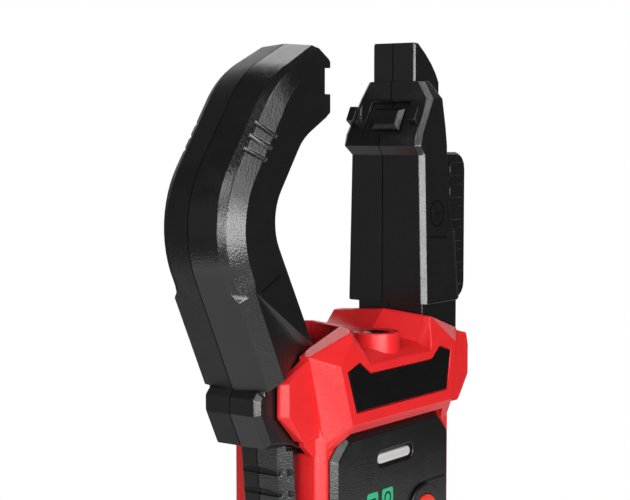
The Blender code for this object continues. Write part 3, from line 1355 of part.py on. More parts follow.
def make_fixed_shell(name, depth, head_depth, side, root):
    stations = fixed_stations()
    count = len(stations)
    depths = []
    for inner, _ in stations[:4]:
        depths.append(depth + FIXED_FLARE * (HEAD_FOOT - inner.z) / (HEAD_FOOT - FIXED_FOOT))
    depths += [head_depth, head_depth, depth, depth - HEAD_TOP_TAPER]
    shell = piece(name, jaw_shell(stations, 2, depths, [1.0] * count, side), BLACK_PLASTIC, root)
    seam = side * SEAM_GAP / 2
    join(shell, chamfered_prism(fin_outline(), seam, side * FIN_HALF_DEPTH, FIN_CHAMFER))
    join(shell, beak(BEAK_FRONT_DEPTH if side < 0 else BEAK_REAR_DEPTH, side))
    for pad in fin_pads():
        join(shell, prism(pad, side * (FIN_HALF_DEPTH - PAD_RISE), side * (FIN_HALF_DEPTH + PAD_RISE)))
    join(shell, ear_block(head_depth, side))
    neck = neck_box(0.0)
    keep = [v for v in neck.verts if v.co.y * side < 0]
    for vertex in keep:
        vertex.co.y = seam
    join(shell, neck)
    neck_hollow = [fixed_neck(NECK_FOOT - CUT_MARGIN), fixed_neck(FIXED_FOOT)]
    hollow = neck_hollow + stations[1:4] + [between(stations[5], stations[6], HEAD_HOLLOW_SHARE)]
    cut(shell, channel(hollow, depth - NECK_INSET, side))
    cut(shell, mate_block(WINDOW_HEIGHT, WINDOW_HALF_DEPTH, 0.0, -WINDOW_RECESS, CUT_MARGIN))
    return shell


def make_fixed_inside(root):
    stations = fixed_stations()
    top = between(stations[5], stations[6], HEAD_CORE_SHARE)
    path = [fixed_neck(NECK_FOOT)] + stations[:4] + [top]
    piece("fixed_jaw_core", bar(path, CORE_WIDTH / 2, CORE_HALF_DEPTH), CORE_STEEL, root)
    coil_winding("fixed_jaw_coil", stations[:2], FIXED_COIL_START, root, Vector())
    height = WINDOW_HEIGHT - 2 * POLE_RIM
    half = WINDOW_HALF_DEPTH - POLE_RIM
    base = -WINDOW_RECESS + CLEARANCE
    cap = mate_block(height, half, POLE_SLOPE, base, base + POLE_HEIGHT)
    piece("fixed_jaw_pole_cap", cap, BLACK_PLASTIC, root)


def make_hinge(root):
    reach = SLOT_HALF_DEPTH + PIN_SEAT_DEPTH - CLEARANCE
    pin = disc(PIVOT_X, PIVOT_Z, PIN_RADIUS, -reach, reach, SMALL_SIDES)
    smooth(piece("jaw_pivot_pin", pin, STEEL, root))


def make_spring(root):
    """The return spring: one unbroken wire wound round the pin."""
    radius = PIN_RADIUS + CLEARANCE + SPRING_WIRE_RADIUS
    count = SPRING_TURNS * SPRING_POINTS_PER_TURN
    curve = bpy.data.curves.new("jaw_return_spring", "CURVE")
    curve.dimensions = "3D"
    curve.bevel_depth = SPRING_WIRE_RADIUS
    curve.bevel_resolution = 1
    curve.use_fill_caps = True
    spline = curve.splines.new("POLY")
    spline.points.add(count)
    start = -SPRING_PITCH * SPRING_TURNS / 2
    for i in range(count + 1):
        turn = 2 * math.pi * i / SPRING_POINTS_PER_TURN
        y = start + SPRING_PITCH * i / SPRING_POINTS_PER_TURN
        x = PIVOT_X + radius * math.cos(turn)
        z = PIVOT_Z + radius * math.sin(turn)
        spline.points[i].co = (x, y, z, 1.0)
    curve.materials.append(material("jaw_return_spring", STEEL))
    spring = bpy.data.objects.new("jaw_return_spring", curve)
    spring.parent = root
    bpy.context.scene.collection.objects.link(spring)
    gap = SPRING_PITCH - 2 * SPRING_WIRE_RADIUS
    print(f"jaw_return_spring: gap between turns {gap / MM:.2f} mm")


def make_batteries(root):
    low, high = tray_span()
    half = tray_half_width()
    floor = tray_floor_y() - TRAY_WALL
    back = INSIDE_REAR_Y - CLEARANCE
    tray = piece("battery_tray", box((-half, floor, low), (half, back, high)), BLACK_PLASTIC, root)
    inside_low = (-half + TRAY_WALL, tray_floor_y(), low + TRAY_WALL)
    inside_high = (half - TRAY_WALL, back + CUT_MARGIN, high - TRAY_WALL)
    cut(tray, box(inside_low, inside_high))
    for i in range(BATTERY_COUNT):
        x = (i - (BATTERY_COUNT - 1) / 2) * BATTERY_SPACING
        top = BATTERY_FOOT + BATTERY_LENGTH
        steps = [
            (BATTERY_FOOT, BATTERY_RADIUS),
            (top, BATTERY_RADIUS),
            (top, BATTERY_NUB_RADIUS),
            (top + BATTERY_NUB_HEIGHT, BATTERY_NUB_RADIUS),
        ]
        smooth(piece(f"battery_{i + 1}", turned(x, battery_y(), steps), CELL_JACKET, root))


def make_battery_door(root):
    outer = BODY_REAR_DEPTH
    inner = outer - DOOR_THICKNESS
    door = piece("battery_door", prism(door_outline(0.0), inner, outer), RED_PLASTIC, root)
    z = door_screw_z()
    seat = outer - SCREW_HEAD_HEIGHT / 2 - CLEARANCE
    cut(door, disc(0.0, z, SCREW_HEAD_RADIUS + CLEARANCE, seat, outer + CUT_MARGIN, SMALL_SIDES))
    cut(door, disc(0.0, z, SCREW_SHANK_RADIUS + CLEARANCE, inner - CUT_MARGIN, outer, SMALL_SIDES))
    head = outer - CLEARANCE
    head_height = SCREW_HEAD_HEIGHT / 2 - CLEARANCE
    make_screw("battery_door_screw", 0.0, z, head, head_height, DOOR_THICKNESS * 2, root)


def make_screw(name, x, z, head_y, head_height, shank, root):
    """A slotted screw driven in from the back."""
    under = head_y - head_height
    steps = [
        (under - shank, SCREW_SHANK_RADIUS),
        (under, SCREW_SHANK_RADIUS),
        (under, SCREW_HEAD_RADIUS),
        (head_y, SCREW_HEAD_RADIUS),
    ]
    screw = piece(name, turned_front(x, z, steps, SMALL_SIDES), STEEL, root)
    half = SCREW_SLOT_WIDTH / 2
    reach = SCREW_HEAD_RADIUS + CUT_MARGIN
    depth = min(SCREW_SLOT_DEPTH, head_height / 2)
    cut(screw, box((x - reach, head_y - depth, z - half), (x + reach, head_y + CUT_MARGIN, z + half)))
    smooth(screw)


def make_case_screws(root):
    head_y = BODY_REAR_DEPTH - CLEARANCE
    for i, (x, z) in enumerate(screw_places()):
        make_screw(f"case_screw_{i + 1}", x, z, head_y, SCREW_HEAD_HEIGHT, SCREW_SHANK_LENGTH, root)


def make_jack(name, x, root):
    """A sleeve that a test lead plugs into from below."""
    foot = -BODY_LENGTH + CLEARANCE
    flange = -BODY_LENGTH + WALL + CLEARANCE
    wide = JACK_RADIUS + JACK_FLANGE
    steps = [
        (foot, JACK_RADIUS),
        (flange, JACK_RADIUS),
        (flange, wide),
        (flange + JACK_FLANGE_THICKNESS, wide),
        (flange + JACK_FLANGE_THICKNESS, JACK_RADIUS),
        (JACK_TOP, JACK_RADIUS),
    ]
    jack = piece(name, turned(x, JACK_DEPTH, steps), BRASS, root)
    floor = JACK_TOP - JACK_FLANGE_THICKNESS
    bore = [(foot - CUT_MARGIN, JACK_BORE_RADIUS), (floor, JACK_BORE_RADIUS)]
    cut(jack, turned(x, JACK_DEPTH, bore, SMALL_SIDES))
    smooth(jack)


def build():
    clear_scene()
    root = empty("meter_frame", (0.0, -PARTING_OFFSET, BODY_LENGTH))
    pivot = empty("jaw_pivot", PIVOT, root, -JAW_OPEN_ANGLE)
    make_front_housing(root)
    make_rear_housing(root)
    make_front_panel(root)
    make_label(root)
    make_display(root)
    make_main_board(root)
    make_selector(root)
    make_button("hold_button", HOLD_X, HOLD_Z, ORANGE_PLASTIC, root)
    make_button("select_button", SELECT_X, SELECT_Z, ORANGE_PLASTIC, root)
    make_light_pipe(root)
    make_torch(root)
    make_fixed_shell("fixed_jaw_front_shell", JAW_FRONT_DEPTH, JAW_FRONT_DEPTH, -1, root)
    make_fixed_shell("fixed_jaw_rear_shell", JAW_REAR_DEPTH, FIXED_HEAD_REAR_DEPTH, 1, root)
    make_fixed_inside(root)
    make_moving_shell("moving_jaw_front_shell", JAW_FRONT_DEPTH, -1, pivot)
    make_moving_shell("moving_jaw_rear_shell", JAW_REAR_DEPTH, 1, pivot)
    make_moving_inside(pivot)
    make_hinge(root)
    make_spring(root)
    make_batteries(root)
    make_battery_door(root)
    make_case_screws(root)
    make_jack("left_input_jack", -JACK_X, root)
    make_jack("right_input_jack", JACK_X, root)


build()
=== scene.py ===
"""Looks of the clamp meter: rounded mouldings, procedural plastics, printed marks, light and camera."""

import json
import math

import bmesh
import bpy
from mathutils import Matrix, Vector
from mathutils.bvhtree import BVHTree

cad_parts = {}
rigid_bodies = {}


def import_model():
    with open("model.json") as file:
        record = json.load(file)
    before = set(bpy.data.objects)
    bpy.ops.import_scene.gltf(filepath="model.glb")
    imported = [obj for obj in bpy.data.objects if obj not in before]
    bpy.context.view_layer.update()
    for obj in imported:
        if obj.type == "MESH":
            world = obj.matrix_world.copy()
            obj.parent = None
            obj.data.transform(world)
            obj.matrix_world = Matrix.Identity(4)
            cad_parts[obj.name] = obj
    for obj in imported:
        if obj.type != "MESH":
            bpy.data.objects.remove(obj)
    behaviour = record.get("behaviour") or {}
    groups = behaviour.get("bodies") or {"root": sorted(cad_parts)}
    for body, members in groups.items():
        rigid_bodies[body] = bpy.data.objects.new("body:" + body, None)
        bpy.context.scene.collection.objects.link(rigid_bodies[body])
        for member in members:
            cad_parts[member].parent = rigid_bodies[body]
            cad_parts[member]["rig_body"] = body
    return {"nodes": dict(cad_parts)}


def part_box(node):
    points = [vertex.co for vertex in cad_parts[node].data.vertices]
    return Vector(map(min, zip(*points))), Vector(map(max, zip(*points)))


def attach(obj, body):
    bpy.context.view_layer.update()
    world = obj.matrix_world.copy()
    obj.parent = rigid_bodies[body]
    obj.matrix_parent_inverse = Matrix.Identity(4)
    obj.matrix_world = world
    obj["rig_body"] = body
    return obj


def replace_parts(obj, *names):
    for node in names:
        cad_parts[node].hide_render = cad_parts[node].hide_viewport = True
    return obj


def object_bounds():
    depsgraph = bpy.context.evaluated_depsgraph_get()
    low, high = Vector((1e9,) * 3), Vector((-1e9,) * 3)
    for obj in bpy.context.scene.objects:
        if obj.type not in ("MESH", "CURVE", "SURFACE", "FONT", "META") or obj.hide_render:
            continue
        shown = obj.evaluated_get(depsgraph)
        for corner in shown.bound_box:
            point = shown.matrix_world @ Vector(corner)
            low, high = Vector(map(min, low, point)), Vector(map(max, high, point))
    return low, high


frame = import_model()
CAD_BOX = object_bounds()
NODES = frame["nodes"]
SCENE = bpy.context.scene
MM = 0.001

# Camera, matched to the photograph's frame of 630 by 500 pixels
IMAGE_WIDTH = 630
IMAGE_HEIGHT = 500
FOCAL_PIXELS = 1514.0
SENSOR_WIDTH = 36.0
CAMERA_AZIMUTH = math.radians(-54.0)
CAMERA_PITCH = math.radians(4.5)
CAMERA_DISTANCE = 0.416
CAMERA_NEAR = 0.01
TARGET_PIXEL = (390.0, 421.0)
TARGET_POINT = Vector((0.0, -0.0146, 0.115))

# Rounding of the moulded edges; edges where the front and rear shells meet stay sharp
HOUSING_ROUND = 0.4 * MM
JAW_ROUND = 0.2 * MM
PANEL_ROUND = 0.35 * MM
KNOB_ROUND = 0.4 * MM
SMALL_ROUND = 0.2 * MM
ROUND_STEPS = 3
SMALL_ROUND_STEPS = 2
SHARP_ANGLE = math.radians(17.0)
FLAT_ANGLE = math.radians(0.5)
WELD_DISTANCE = 0.02 * MM
NEIGHBOUR_SHARE = 0.4
LARGE_FACE_WEIGHT = 100
SEAM_Y = -1.0 * MM
SEAM_REACH = 0.4 * MM

# Marks: height over the surface, foot under it, line width and the strokes' rounded tips
MARK_LIFT = 0.06 * MM
MARK_SINK = 0.1 * MM
MARK_LINE = 0.55 * MM
STROKE_TIP = 0.6
STROKE_STEPS = 4
RING_STEPS = 40
FRONT_OF_ALL = -0.1
INTO_DEPTH = Vector((0.0, 1.0, 0.0))

# Signs on the jaws' front faces, as x and z
JAW_SIGN_CENTRE = (24.38 * MM, 171.0 * MM)
JAW_SIGN_RADIUS = 3.6 * MM
JAW_SIGN_CROSS = 1.7 * MM
JAW_SIGN_LINE = ((20.39 * MM, 164.53 * MM), (29.13 * MM, 164.02 * MM))
MOVING_SIGN_LINE = ((-56.15 * MM, 155.44 * MM), (-48.93 * MM, 158.77 * MM))

# Two printed patches with plain signs and a rule, at the panel's top
PATCH_TOP = 97.4 * MM
PATCH_HEIGHT = 5.2 * MM
PATCH_SIDES = ((-14.0 * MM, -8.7 * MM), (-6.7 * MM, -1.3 * MM))
PATCH_CORNER = 0.6 * MM
PATCH_SIGN_REACH = 1.4 * MM
PATCH_SIGN_LIFT = 0.12 * MM
PANEL_RULE = ((25.7 * MM, 95.41 * MM), (14.8 * MM, 95.71 * MM))

# Print round the dial: angles from upright in degrees
DIAL_CENTRE = Vector((0.0, 65.0 * MM))
TICK_RADII = (18.7 * MM, 20.4 * MM)
TICK_ANGLES = (-150, -120, -90, -60, -30, 0, 60, 90, 120, 150)
NUMBER_SIZE = 3.0 * MM
NUMBERS = (
    (-90, "200", 23.6 * MM),
    (-60, "20", 23.6 * MM),
    (-30, "2", 23.6 * MM),
    (0, "OFF", 23.6 * MM),
    (60, "2", 23.6 * MM),
    (90, "20", 23.6 * MM),
    (120, "200", 24.8 * MM),
    (150, "600", 24.4 * MM),
)
POINTER_SPAN = (68.5 * MM, 75.0 * MM)
POINTER_WIDTH = 1.3 * MM

# Display: a row of noughts, and the window's printed border
DIGIT_COUNT = 4
DIGIT_SIZE = (6.2 * MM, 12.0 * MM)
DIGIT_STEP = 8.6 * MM
DIGIT_STROKE = 1.3 * MM
DIGIT_GAP_SHARE = 0.6
DISPLAY_CENTRE = (0.0, 23.0 * MM)
BORDER_INSET = 0.15 * MM
BORDER_OPENING = (-19.6 * MM, 19.6 * MM, 12.4 * MM, 33.6 * MM)
BORDER_CORNER = 0.8 * MM

# Ribbed grip on the trigger's front edge, drawn from its top down
GRIP_TOP = 113.0 * MM
GRIP_FOOT = 81.2 * MM
GRIP_START_X = -42.38 * MM
GRIP_START_Z = 116.0 * MM
GRIP_LEAN = 3.3 / 36.15
GRIP_RUN = 3.0 * MM
GRIP_REAR_Y = -7.4 * MM
GRIP_FRONT_Y = -10.45 * MM
GRIP_INNER_X = -35.1 * MM
GRIP_INNER_Y = -9.15 * MM
GRIP_SUNK = 1.2 * MM
RIB_START = 108.0 * MM
RIB_SPACING = 5.6 * MM
RIB_COUNT = 5
RIB_GAP = 1.6 * MM
RIB_DEPTH = 0.8 * MM
RIB_SHARE = 0.62
RIB_FLANK = 0.25 * MM

# Gusset of the case between the left guard and the body's side, as x and z
GUSSET_OUTLINE = (
    (-37.2 * MM, 115.6 * MM),
    (-36.6 * MM, 113.5 * MM),
    (-33.2 * MM, 110.5 * MM),
    (-31.9 * MM, 110.1 * MM),
    (-31.9 * MM, 115.6 * MM),
)
GUSSET_Y = (-12.6 * MM, -10.65 * MM)

# Torch lens: a dome over the lens's rim, as height over its foot and share of its radius
LENS_PROFILE = (
    (0.0, 1.0),
    (1.1 * MM, 1.0),
    (1.45 * MM, 0.93),
    (1.8 * MM, 0.74),
    (2.0 * MM, 0.45),
    (2.08 * MM, 0.15),
)

# Colours, linear
RED = (0.74, 0.020, 0.023)
RED_DEEP = (0.66, 0.016, 0.018)
BLACK = (0.008, 0.008, 0.0083)
BLACK_DEEP = (0.005, 0.005, 0.0052)
PANEL_BLACK = (0.007, 0.007, 0.0075)
LABEL_BLACK = (0.003, 0.003, 0.0032)
# Torch lens colour: painted shade, near black for the shaded hollow behind a clear lens
LENS_SHADE_BLACK = (0.012, 0.01, 0.011)
ORANGE_RED = (0.78, 0.05, 0.022)
ORANGE_DEEP = (0.66, 0.03, 0.014)
PALE = (0.6, 0.6, 0.59)
PALE_DEEP = (0.5, 0.5, 0.49)
LCD_GREY = (0.30, 0.34, 0.29)
LCD_DEEP = (0.26, 0.3, 0.25)
BOARD_GREEN = (0.02, 0.18, 0.07)
BOARD_DEEP = (0.012, 0.12, 0.05)
CELL_BLUE = (0.05, 0.2, 0.46)
CELL_DEEP = (0.03, 0.14, 0.36)
STEEL = (0.56, 0.56, 0.57)
CORE_STEEL = (0.3, 0.3, 0.31)
BRASS = (0.72, 0.5, 0.2)
COPPER = (0.72, 0.3, 0.12)
# Copper in the winding's grooves: painted shade
COPPER_GROOVE_SHADE = (0.28, 0.09, 0.03)
CLEAR_TINT = (0.9, 0.94, 0.95)
PRINT_WHITE = (0.78, 0.78, 0.77)
PRINT_GREEN = (0.03, 0.42, 0.2)
PRINT_DARK = (0.03, 0.035, 0.03)

# Plastics: name, two tones, roughness, grain scale, grain strength, coat and specular level
PLASTICS = {
    "red": ("red_plastic", (RED, RED_DEEP), 0.32, 2000.0, 0.7, 0.0, 0.45),
    "black": ("black_plastic", (BLACK, BLACK_DEEP), 0.2, 2200.0, 0.75, 0.0, 0.8),
    "dull_black": ("black_plastic_rear", (BLACK, BLACK_DEEP), 0.45, 2200.0, 0.75, 0.0, 0.4),
    "panel": ("panel_plastic", (PANEL_BLACK, BLACK_DEEP), 0.22, 2600.0, 0.6, 0.0, 0.75),
    "label": ("label_film", (LABEL_BLACK, BLACK_DEEP), 0.3, 4200.0, 0.15, 0.0, 0.2),
    "orange": ("orange_plastic", (ORANGE_RED, ORANGE_DEEP), 0.35, 2600.0, 0.2, 0.2, 0.5),
    "pale": ("pale_plastic", (PALE, PALE_DEEP), 0.25, 1500.0, 0.12, 0.0, 0.5),
    # The lens: its near-black colour is painted shade of the torch's hollow
    "lens": ("lens_painted_shade", (LENS_SHADE_BLACK, BLACK_DEEP), 0.09, 3000.0, 0.04, 0.0, 0.5),
    "lcd": ("display_face", (LCD_GREY, LCD_DEEP), 0.3, 5200.0, 0.05, 0.0, 0.5),
    "board": ("board_green", (BOARD_GREEN, BOARD_DEEP), 0.45, 900.0, 0.2, 0.0, 0.5),
    "cell": ("cell_jacket", (CELL_BLUE, CELL_DEEP), 0.32, 700.0, 0.08, 0.3, 0.5),
}

# Metals: name, colour, roughness and how the machining lines are squeezed along each axis
METALS = {
    "steel": ("steel", STEEL, 0.28, (1.0, 12.0, 1.0)),
    "core": ("core_steel", CORE_STEEL, 0.4, (8.0, 8.0, 1.0)),
    "brass": ("brass", BRASS, 0.26, (1.0, 1.0, 10.0)),
}
INKS = {"white_ink": PRINT_WHITE, "green_ink": PRINT_GREEN, "dark_ink": PRINT_DARK}

# Detail of the materials: noise scales per metre, and how far the noise moves tone and gloss
NOISE_RANGE = (0.3, 0.7)
NOISE_DETAIL = 3.0
NOISE_FINENESS = 0.55
GRAIN_DETAIL = 2.0
GRAIN_DEPTH = 0.1 * MM
DRIFT_SCALE = 45.0
DRIFT_DETAIL = 4.0
GLOSS_SCALE = 160.0
GLOSS_DETAIL = 5.0
GLOSS_FINENESS = 0.6
GLOSS_SPREAD = (-0.05, 0.06)
COAT_ROUGHNESS = 0.25
LINES_SCALE = 900.0
LINES_SPREAD = (-0.06, 0.1)
LINES_SHADE = 0.75
LINES_STRENGTH = 0.15
LINES_DEPTH = 0.03 * MM
HAZE_SCALE = 220.0
HAZE_DETAIL = 4.0
HAZE_SHADE = 0.94
HAZE_ROUGHNESS = (0.03, 0.09)
CLEAR_IOR = 1.49
INK_SCALE = 1400.0
INK_SHADE = 0.86
INK_ROUGHNESS = (0.42, 0.55)
WIRE_SCALE = 420.0
WIRE_WOBBLE = 0.6
WIRE_STRENGTH = 0.5
WIRE_DEPTH = 0.1 * MM
WIRE_METALLIC = 0.9
WIRE_GLOSS_SCALE = 300.0
WIRE_ROUGHNESS = (0.25, 0.4)

# Studio: softboxes as azimuth, elevation, distance, width, height and radiance
LIGHT_AIM = Vector((0.0, 0.0, 0.16))
SOFTBOXES = (
    ("key", -26.0, -1.0, 0.8, 0.62, 0.36, 8.0),
    ("side", -66.0, 2.0, 0.8, 0.28, 0.36, 6.0),
    ("left", -84.0, 36.0, 0.8, 0.36, 0.36, 5.0),
    ("rim", -130.0, 2.0, 0.8, 0.6, 0.5, 0.12),
    ("upper", -14.0, 38.0, 0.8, 0.3, 0.6, 3.0),
    ("back", 126.0, 40.0, 0.8, 0.5, 0.3, 1.5),
)
ROOM_STRENGTH = 0.053

# Backdrop seen in gloss: its azimuth, and where it sets in sideways (edge, full) and upwards (low, high)
BACKDROP_AZIMUTH = math.radians(126.0)
BACKDROP_EDGE = 0.6
BACKDROP_FULL = 0.85
BACKDROP_LOW = -0.02
BACKDROP_HIGH = 0.2

# Floor, which turns white with distance from the object
FLOOR_RADIUS = 0.36
FLOOR_STEPS = 96
FLOOR_GAP = 0.2 * MM
FLOOR_GREY = (0.68, 0.68, 0.68)
FLOOR_ROUGHNESS = 0.8
FLOOR_FADE_START = 0.2
FLOOR_FADE_END = 0.34
FLOOR_NEAR_SHARE = 0.2


def set_camera():
    """The photograph's camera, aimed so that the target point falls on the target pixel."""
    forward = Vector(
        (
            -math.sin(CAMERA_AZIMUTH) * math.cos(CAMERA_PITCH),
            math.cos(CAMERA_AZIMUTH) * math.cos(CAMERA_PITCH),
            -math.sin(CAMERA_PITCH),
        )
    )
    right = Vector((math.cos(CAMERA_AZIMUTH), math.sin(CAMERA_AZIMUTH), 0.0))
    up = right.cross(forward)
    across = (TARGET_PIXEL[0] - IMAGE_WIDTH / 2) / FOCAL_PIXELS
    above = (IMAGE_HEIGHT / 2 - TARGET_PIXEL[1]) / FOCAL_PIXELS
    spot = TARGET_POINT - (right * across + up * above + forward) * CAMERA_DISTANCE
    camera = bpy.data.cameras.new("camera")
    camera.sensor_width = SENSOR_WIDTH
    camera.lens = FOCAL_PIXELS / IMAGE_WIDTH * SENSOR_WIDTH
    camera.clip_start = CAMERA_NEAR
    obj = bpy.data.objects.new("camera", camera)
    obj.matrix_world = Matrix.Translation(spot) @ Matrix((right, up, -forward)).transposed().to_4x4()
    SCENE.collection.objects.link(obj)
    SCENE.camera = obj


class Nodes:
    """A short way to write a material's node tree."""

    def __init__(self, name):
        self.material = bpy.data.materials.new(name)
        self.material.use_nodes = True
        self.tree = self.material.node_tree
        self.inputs = self.tree.nodes["Principled BSDF"].inputs
        self.coordinates = self.tree.nodes.new("ShaderNodeTexCoord").outputs["Object"]

    def link(self, output, socket):
        self.tree.links.new(output, socket)

    def noise(self, scale, detail=NOISE_DETAIL, fineness=NOISE_FINENESS):
        node = self.tree.nodes.new("ShaderNodeTexNoise")
        node.inputs["Scale"].default_value = scale
        node.inputs["Detail"].default_value = detail
        node.inputs["Roughness"].default_value = fineness
        self.link(self.coordinates, node.inputs["Vector"])
        return node.outputs["Fac"]

    def span(self, value, low, high):
        """A noise value spread over the range from low to high."""
        node = self.tree.nodes.new("ShaderNodeMapRange")
        node.inputs["From Min"].default_value = NOISE_RANGE[0]
        node.inputs["From Max"].default_value = NOISE_RANGE[1]
        node.inputs["To Min"].default_value = low
        node.inputs["To Max"].default_value = high
        self.link(value, node.inputs["Value"])
        return node.outputs["Result"]

    def mix(self, value, colour_a, colour_b):
        node = self.tree.nodes.new("ShaderNodeMix")
        node.data_type = "RGBA"
        node.inputs["A"].default_value = (*colour_a, 1.0)
        node.inputs["B"].default_value = (*colour_b, 1.0)
        self.link(value, node.inputs["Factor"])
        return node.outputs["Result"]

    def bump(self, height, strength, distance):
        node = self.tree.nodes.new("ShaderNodeBump")
        node.inputs["Strength"].default_value = strength
        node.inputs["Distance"].default_value = distance
        self.link(height, node.inputs["Height"])
        return node.outputs["Normal"]


def shaded(colour, share):
    """A colour darkened to a share of its light."""
    return tuple(channel * share for channel in colour)


def moulded_plastic(name, tones, rough, grain, grain_strength, coat, specular):
    """Injection-moulded plastic: spark-eroded grain, slow drift of tone and uneven gloss."""
    made = Nodes(name)
    drift = made.noise(DRIFT_SCALE, DRIFT_DETAIL)
    speck = made.noise(grain, GRAIN_DETAIL)
    gloss = made.noise(GLOSS_SCALE, GLOSS_DETAIL, GLOSS_FINENESS)
    low, high = GLOSS_SPREAD
    made.link(made.mix(made.span(drift, 0.0, 1.0), *tones), made.inputs["Base Color"])
    made.link(made.span(gloss, rough + low, rough + high), made.inputs["Roughness"])
    made.link(made.bump(speck, grain_strength, GRAIN_DEPTH), made.inputs["Normal"])
    made.inputs["Coat Weight"].default_value = coat
    made.inputs["Coat Roughness"].default_value = COAT_ROUGHNESS
    made.inputs["Specular IOR Level"].default_value = specular
    return made.material


def metal(name, colour, rough, squeeze):
    """Metal with fine machining lines."""
    made = Nodes(name)
    mapping = made.tree.nodes.new("ShaderNodeMapping")
    mapping.inputs["Scale"].default_value = squeeze
    made.link(made.coordinates, mapping.inputs["Vector"])
    made.coordinates = mapping.outputs["Vector"]
    lines = made.noise(LINES_SCALE)
    low, high = LINES_SPREAD
    tone = made.mix(made.span(lines, 0.0, 1.0), colour, shaded(colour, LINES_SHADE))
    made.link(tone, made.inputs["Base Color"])
    made.link(made.span(lines, rough + low, rough + high), made.inputs["Roughness"])
    made.link(made.bump(lines, LINES_STRENGTH, LINES_DEPTH), made.inputs["Normal"])
    made.inputs["Metallic"].default_value = 1.0
    return made.material


def clear_plastic(name, tint):
    """Clear moulding with faint haze."""
    made = Nodes(name)
    haze = made.noise(HAZE_SCALE, HAZE_DETAIL)
    tone = made.mix(made.span(haze, 0.0, 1.0), tint, shaded(tint, HAZE_SHADE))
    made.link(tone, made.inputs["Base Color"])
    made.link(made.span(haze, *HAZE_ROUGHNESS), made.inputs["Roughness"])
    made.inputs["Transmission Weight"].default_value = 1.0
    made.inputs["IOR"].default_value = CLEAR_IOR
    return made.material


def printed_ink(name, colour):
    """Pad-printed ink, slightly uneven."""
    made = Nodes(name)
    speckle = made.noise(INK_SCALE)
    tone = made.mix(made.span(speckle, 0.0, 1.0), colour, shaded(colour, INK_SHADE))
    made.link(tone, made.inputs["Base Color"])
    made.link(made.span(speckle, *INK_ROUGHNESS), made.inputs["Roughness"])
    return made.material


def winding(name):
    """Enamelled copper wire wound in fine turns, darker in the grooves between turns as painted shade.
    """
    made = Nodes(name)
    wave = made.tree.nodes.new("ShaderNodeTexWave")
    wave.bands_direction = "Z"
    wave.inputs["Scale"].default_value = WIRE_SCALE
    wave.inputs["Distortion"].default_value = WIRE_WOBBLE
    made.link(made.coordinates, wave.inputs["Vector"])
    turns = wave.outputs["Fac"]
    # Painted shade: the colour darkens where the turns' height is low, in the grooves between them
    made.link(made.mix(turns, COPPER_GROOVE_SHADE, COPPER), made.inputs["Base Color"])
    made.link(made.bump(turns, WIRE_STRENGTH, WIRE_DEPTH), made.inputs["Normal"])
    made.link(made.span(made.noise(WIRE_GLOSS_SCALE), *WIRE_ROUGHNESS), made.inputs["Roughness"])
    made.inputs["Metallic"].default_value = WIRE_METALLIC
    return made.material


def make_materials():
    """All the materials, by the short names that the pieces use."""
    paints = {key: moulded_plastic(*values) for key, values in PLASTICS.items()}
    paints.update({key: metal(*values) for key, values in METALS.items()})
    paints.update({key: printed_ink(key, colour) for key, colour in INKS.items()})
    paints["clear"] = clear_plastic("clear_plastic", CLEAR_TINT)
    paints["copper"] = winding("copper")
    return paints


def place(obj, body):
    """Puts a finished piece in the scene, on a body."""
    SCENE.collection.objects.link(obj)
    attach(obj, body)
    return obj


def rounding_share(edge, rounding):
    """Share of the full rounding that an outer edge has room for; none where two shells meet."""
    if len(edge.link_faces) != 2 or edge.calc_face_angle() < SHARP_ANGLE or not edge.is_convex:
        return 0.0
    if all(abs(corner.co.y - SEAM_Y) < SEAM_REACH for corner in edge.verts):
        return 0.0
    room = rounding / NEIGHBOUR_SHARE
    start = edge.verts[0].co
    along = (edge.verts[1].co - start).normalized()
    for corner in edge.verts:
        for other in corner.link_edges:
            room = min(room, other.calc_length())
    for face in edge.link_faces:
        reaches = [(corner.co - start).cross(along).length for corner in face.verts]
        room = min(room, max(reaches))
    return min(1.0, room * NEIGHBOUR_SHARE / rounding)


def dressed(node, material, rounding):
    """A copy of a CAD node with rounded edges, which stands for the node."""
    source = NODES[node]
    mesh = bpy.data.meshes.new(f"{node}_moulding")
    bm = bmesh.new()
    bm.from_mesh(source.data)
    bmesh.ops.remove_doubles(bm, verts=bm.verts, dist=WELD_DISTANCE)
    bmesh.ops.dissolve_limit(bm, angle_limit=FLAT_ANGLE, verts=bm.verts, edges=bm.edges)
    shares = []
    for edge in bm.edges:
        share = rounding_share(edge, rounding)
        edge.smooth = share > 0.0 or edge.calc_face_angle(0.0) < SHARP_ANGLE
        shares.append(share)
    bm.to_mesh(mesh)
    bm.free()
    mesh.materials.append(material)
    mesh.polygons.foreach_set("use_smooth", [True] * len(mesh.polygons))
    weights = mesh.attributes.new("bevel_weight_edge", "FLOAT", "EDGE")
    weights.data.foreach_set("value", shares)
    obj = bpy.data.objects.new(f"{node}_moulding", mesh)
    place(obj, source["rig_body"])
    bevel = obj.modifiers.new("rounded_edges", "BEVEL")
    bevel.width = rounding
    bevel.segments = ROUND_STEPS
    bevel.limit_method = "WEIGHT"
    bevel.use_clamp_overlap = False
    normals = obj.modifiers.new("even_shading", "WEIGHTED_NORMAL")
    normals.keep_sharp = True
    normals.weight = LARGE_FACE_WEIGHT
    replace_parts(obj, node)


def finished(name, bm, material, body, rounding=0.0):
    """A new piece from a mesh, with rounded edges where a rounding is given."""
    bmesh.ops.recalc_face_normals(bm, faces=bm.faces)
    mesh = bpy.data.meshes.new(name)
    bm.to_mesh(mesh)
    bm.free()
    mesh.materials.append(material)
    obj = place(bpy.data.objects.new(name, mesh), body)
    if rounding > 0.0:
        bevel = obj.modifiers.new("rounded_edges", "BEVEL")
        bevel.width = rounding
        bevel.segments = SMALL_ROUND_STEPS
        bevel.limit_method = "ANGLE"
        bevel.angle_limit = SHARP_ANGLE
    return obj


def paint(node, material):
    """Gives a CAD node that keeps its own shape a finished material."""
    mesh = NODES[node].data
    mesh.materials.clear()
    mesh.materials.append(material)


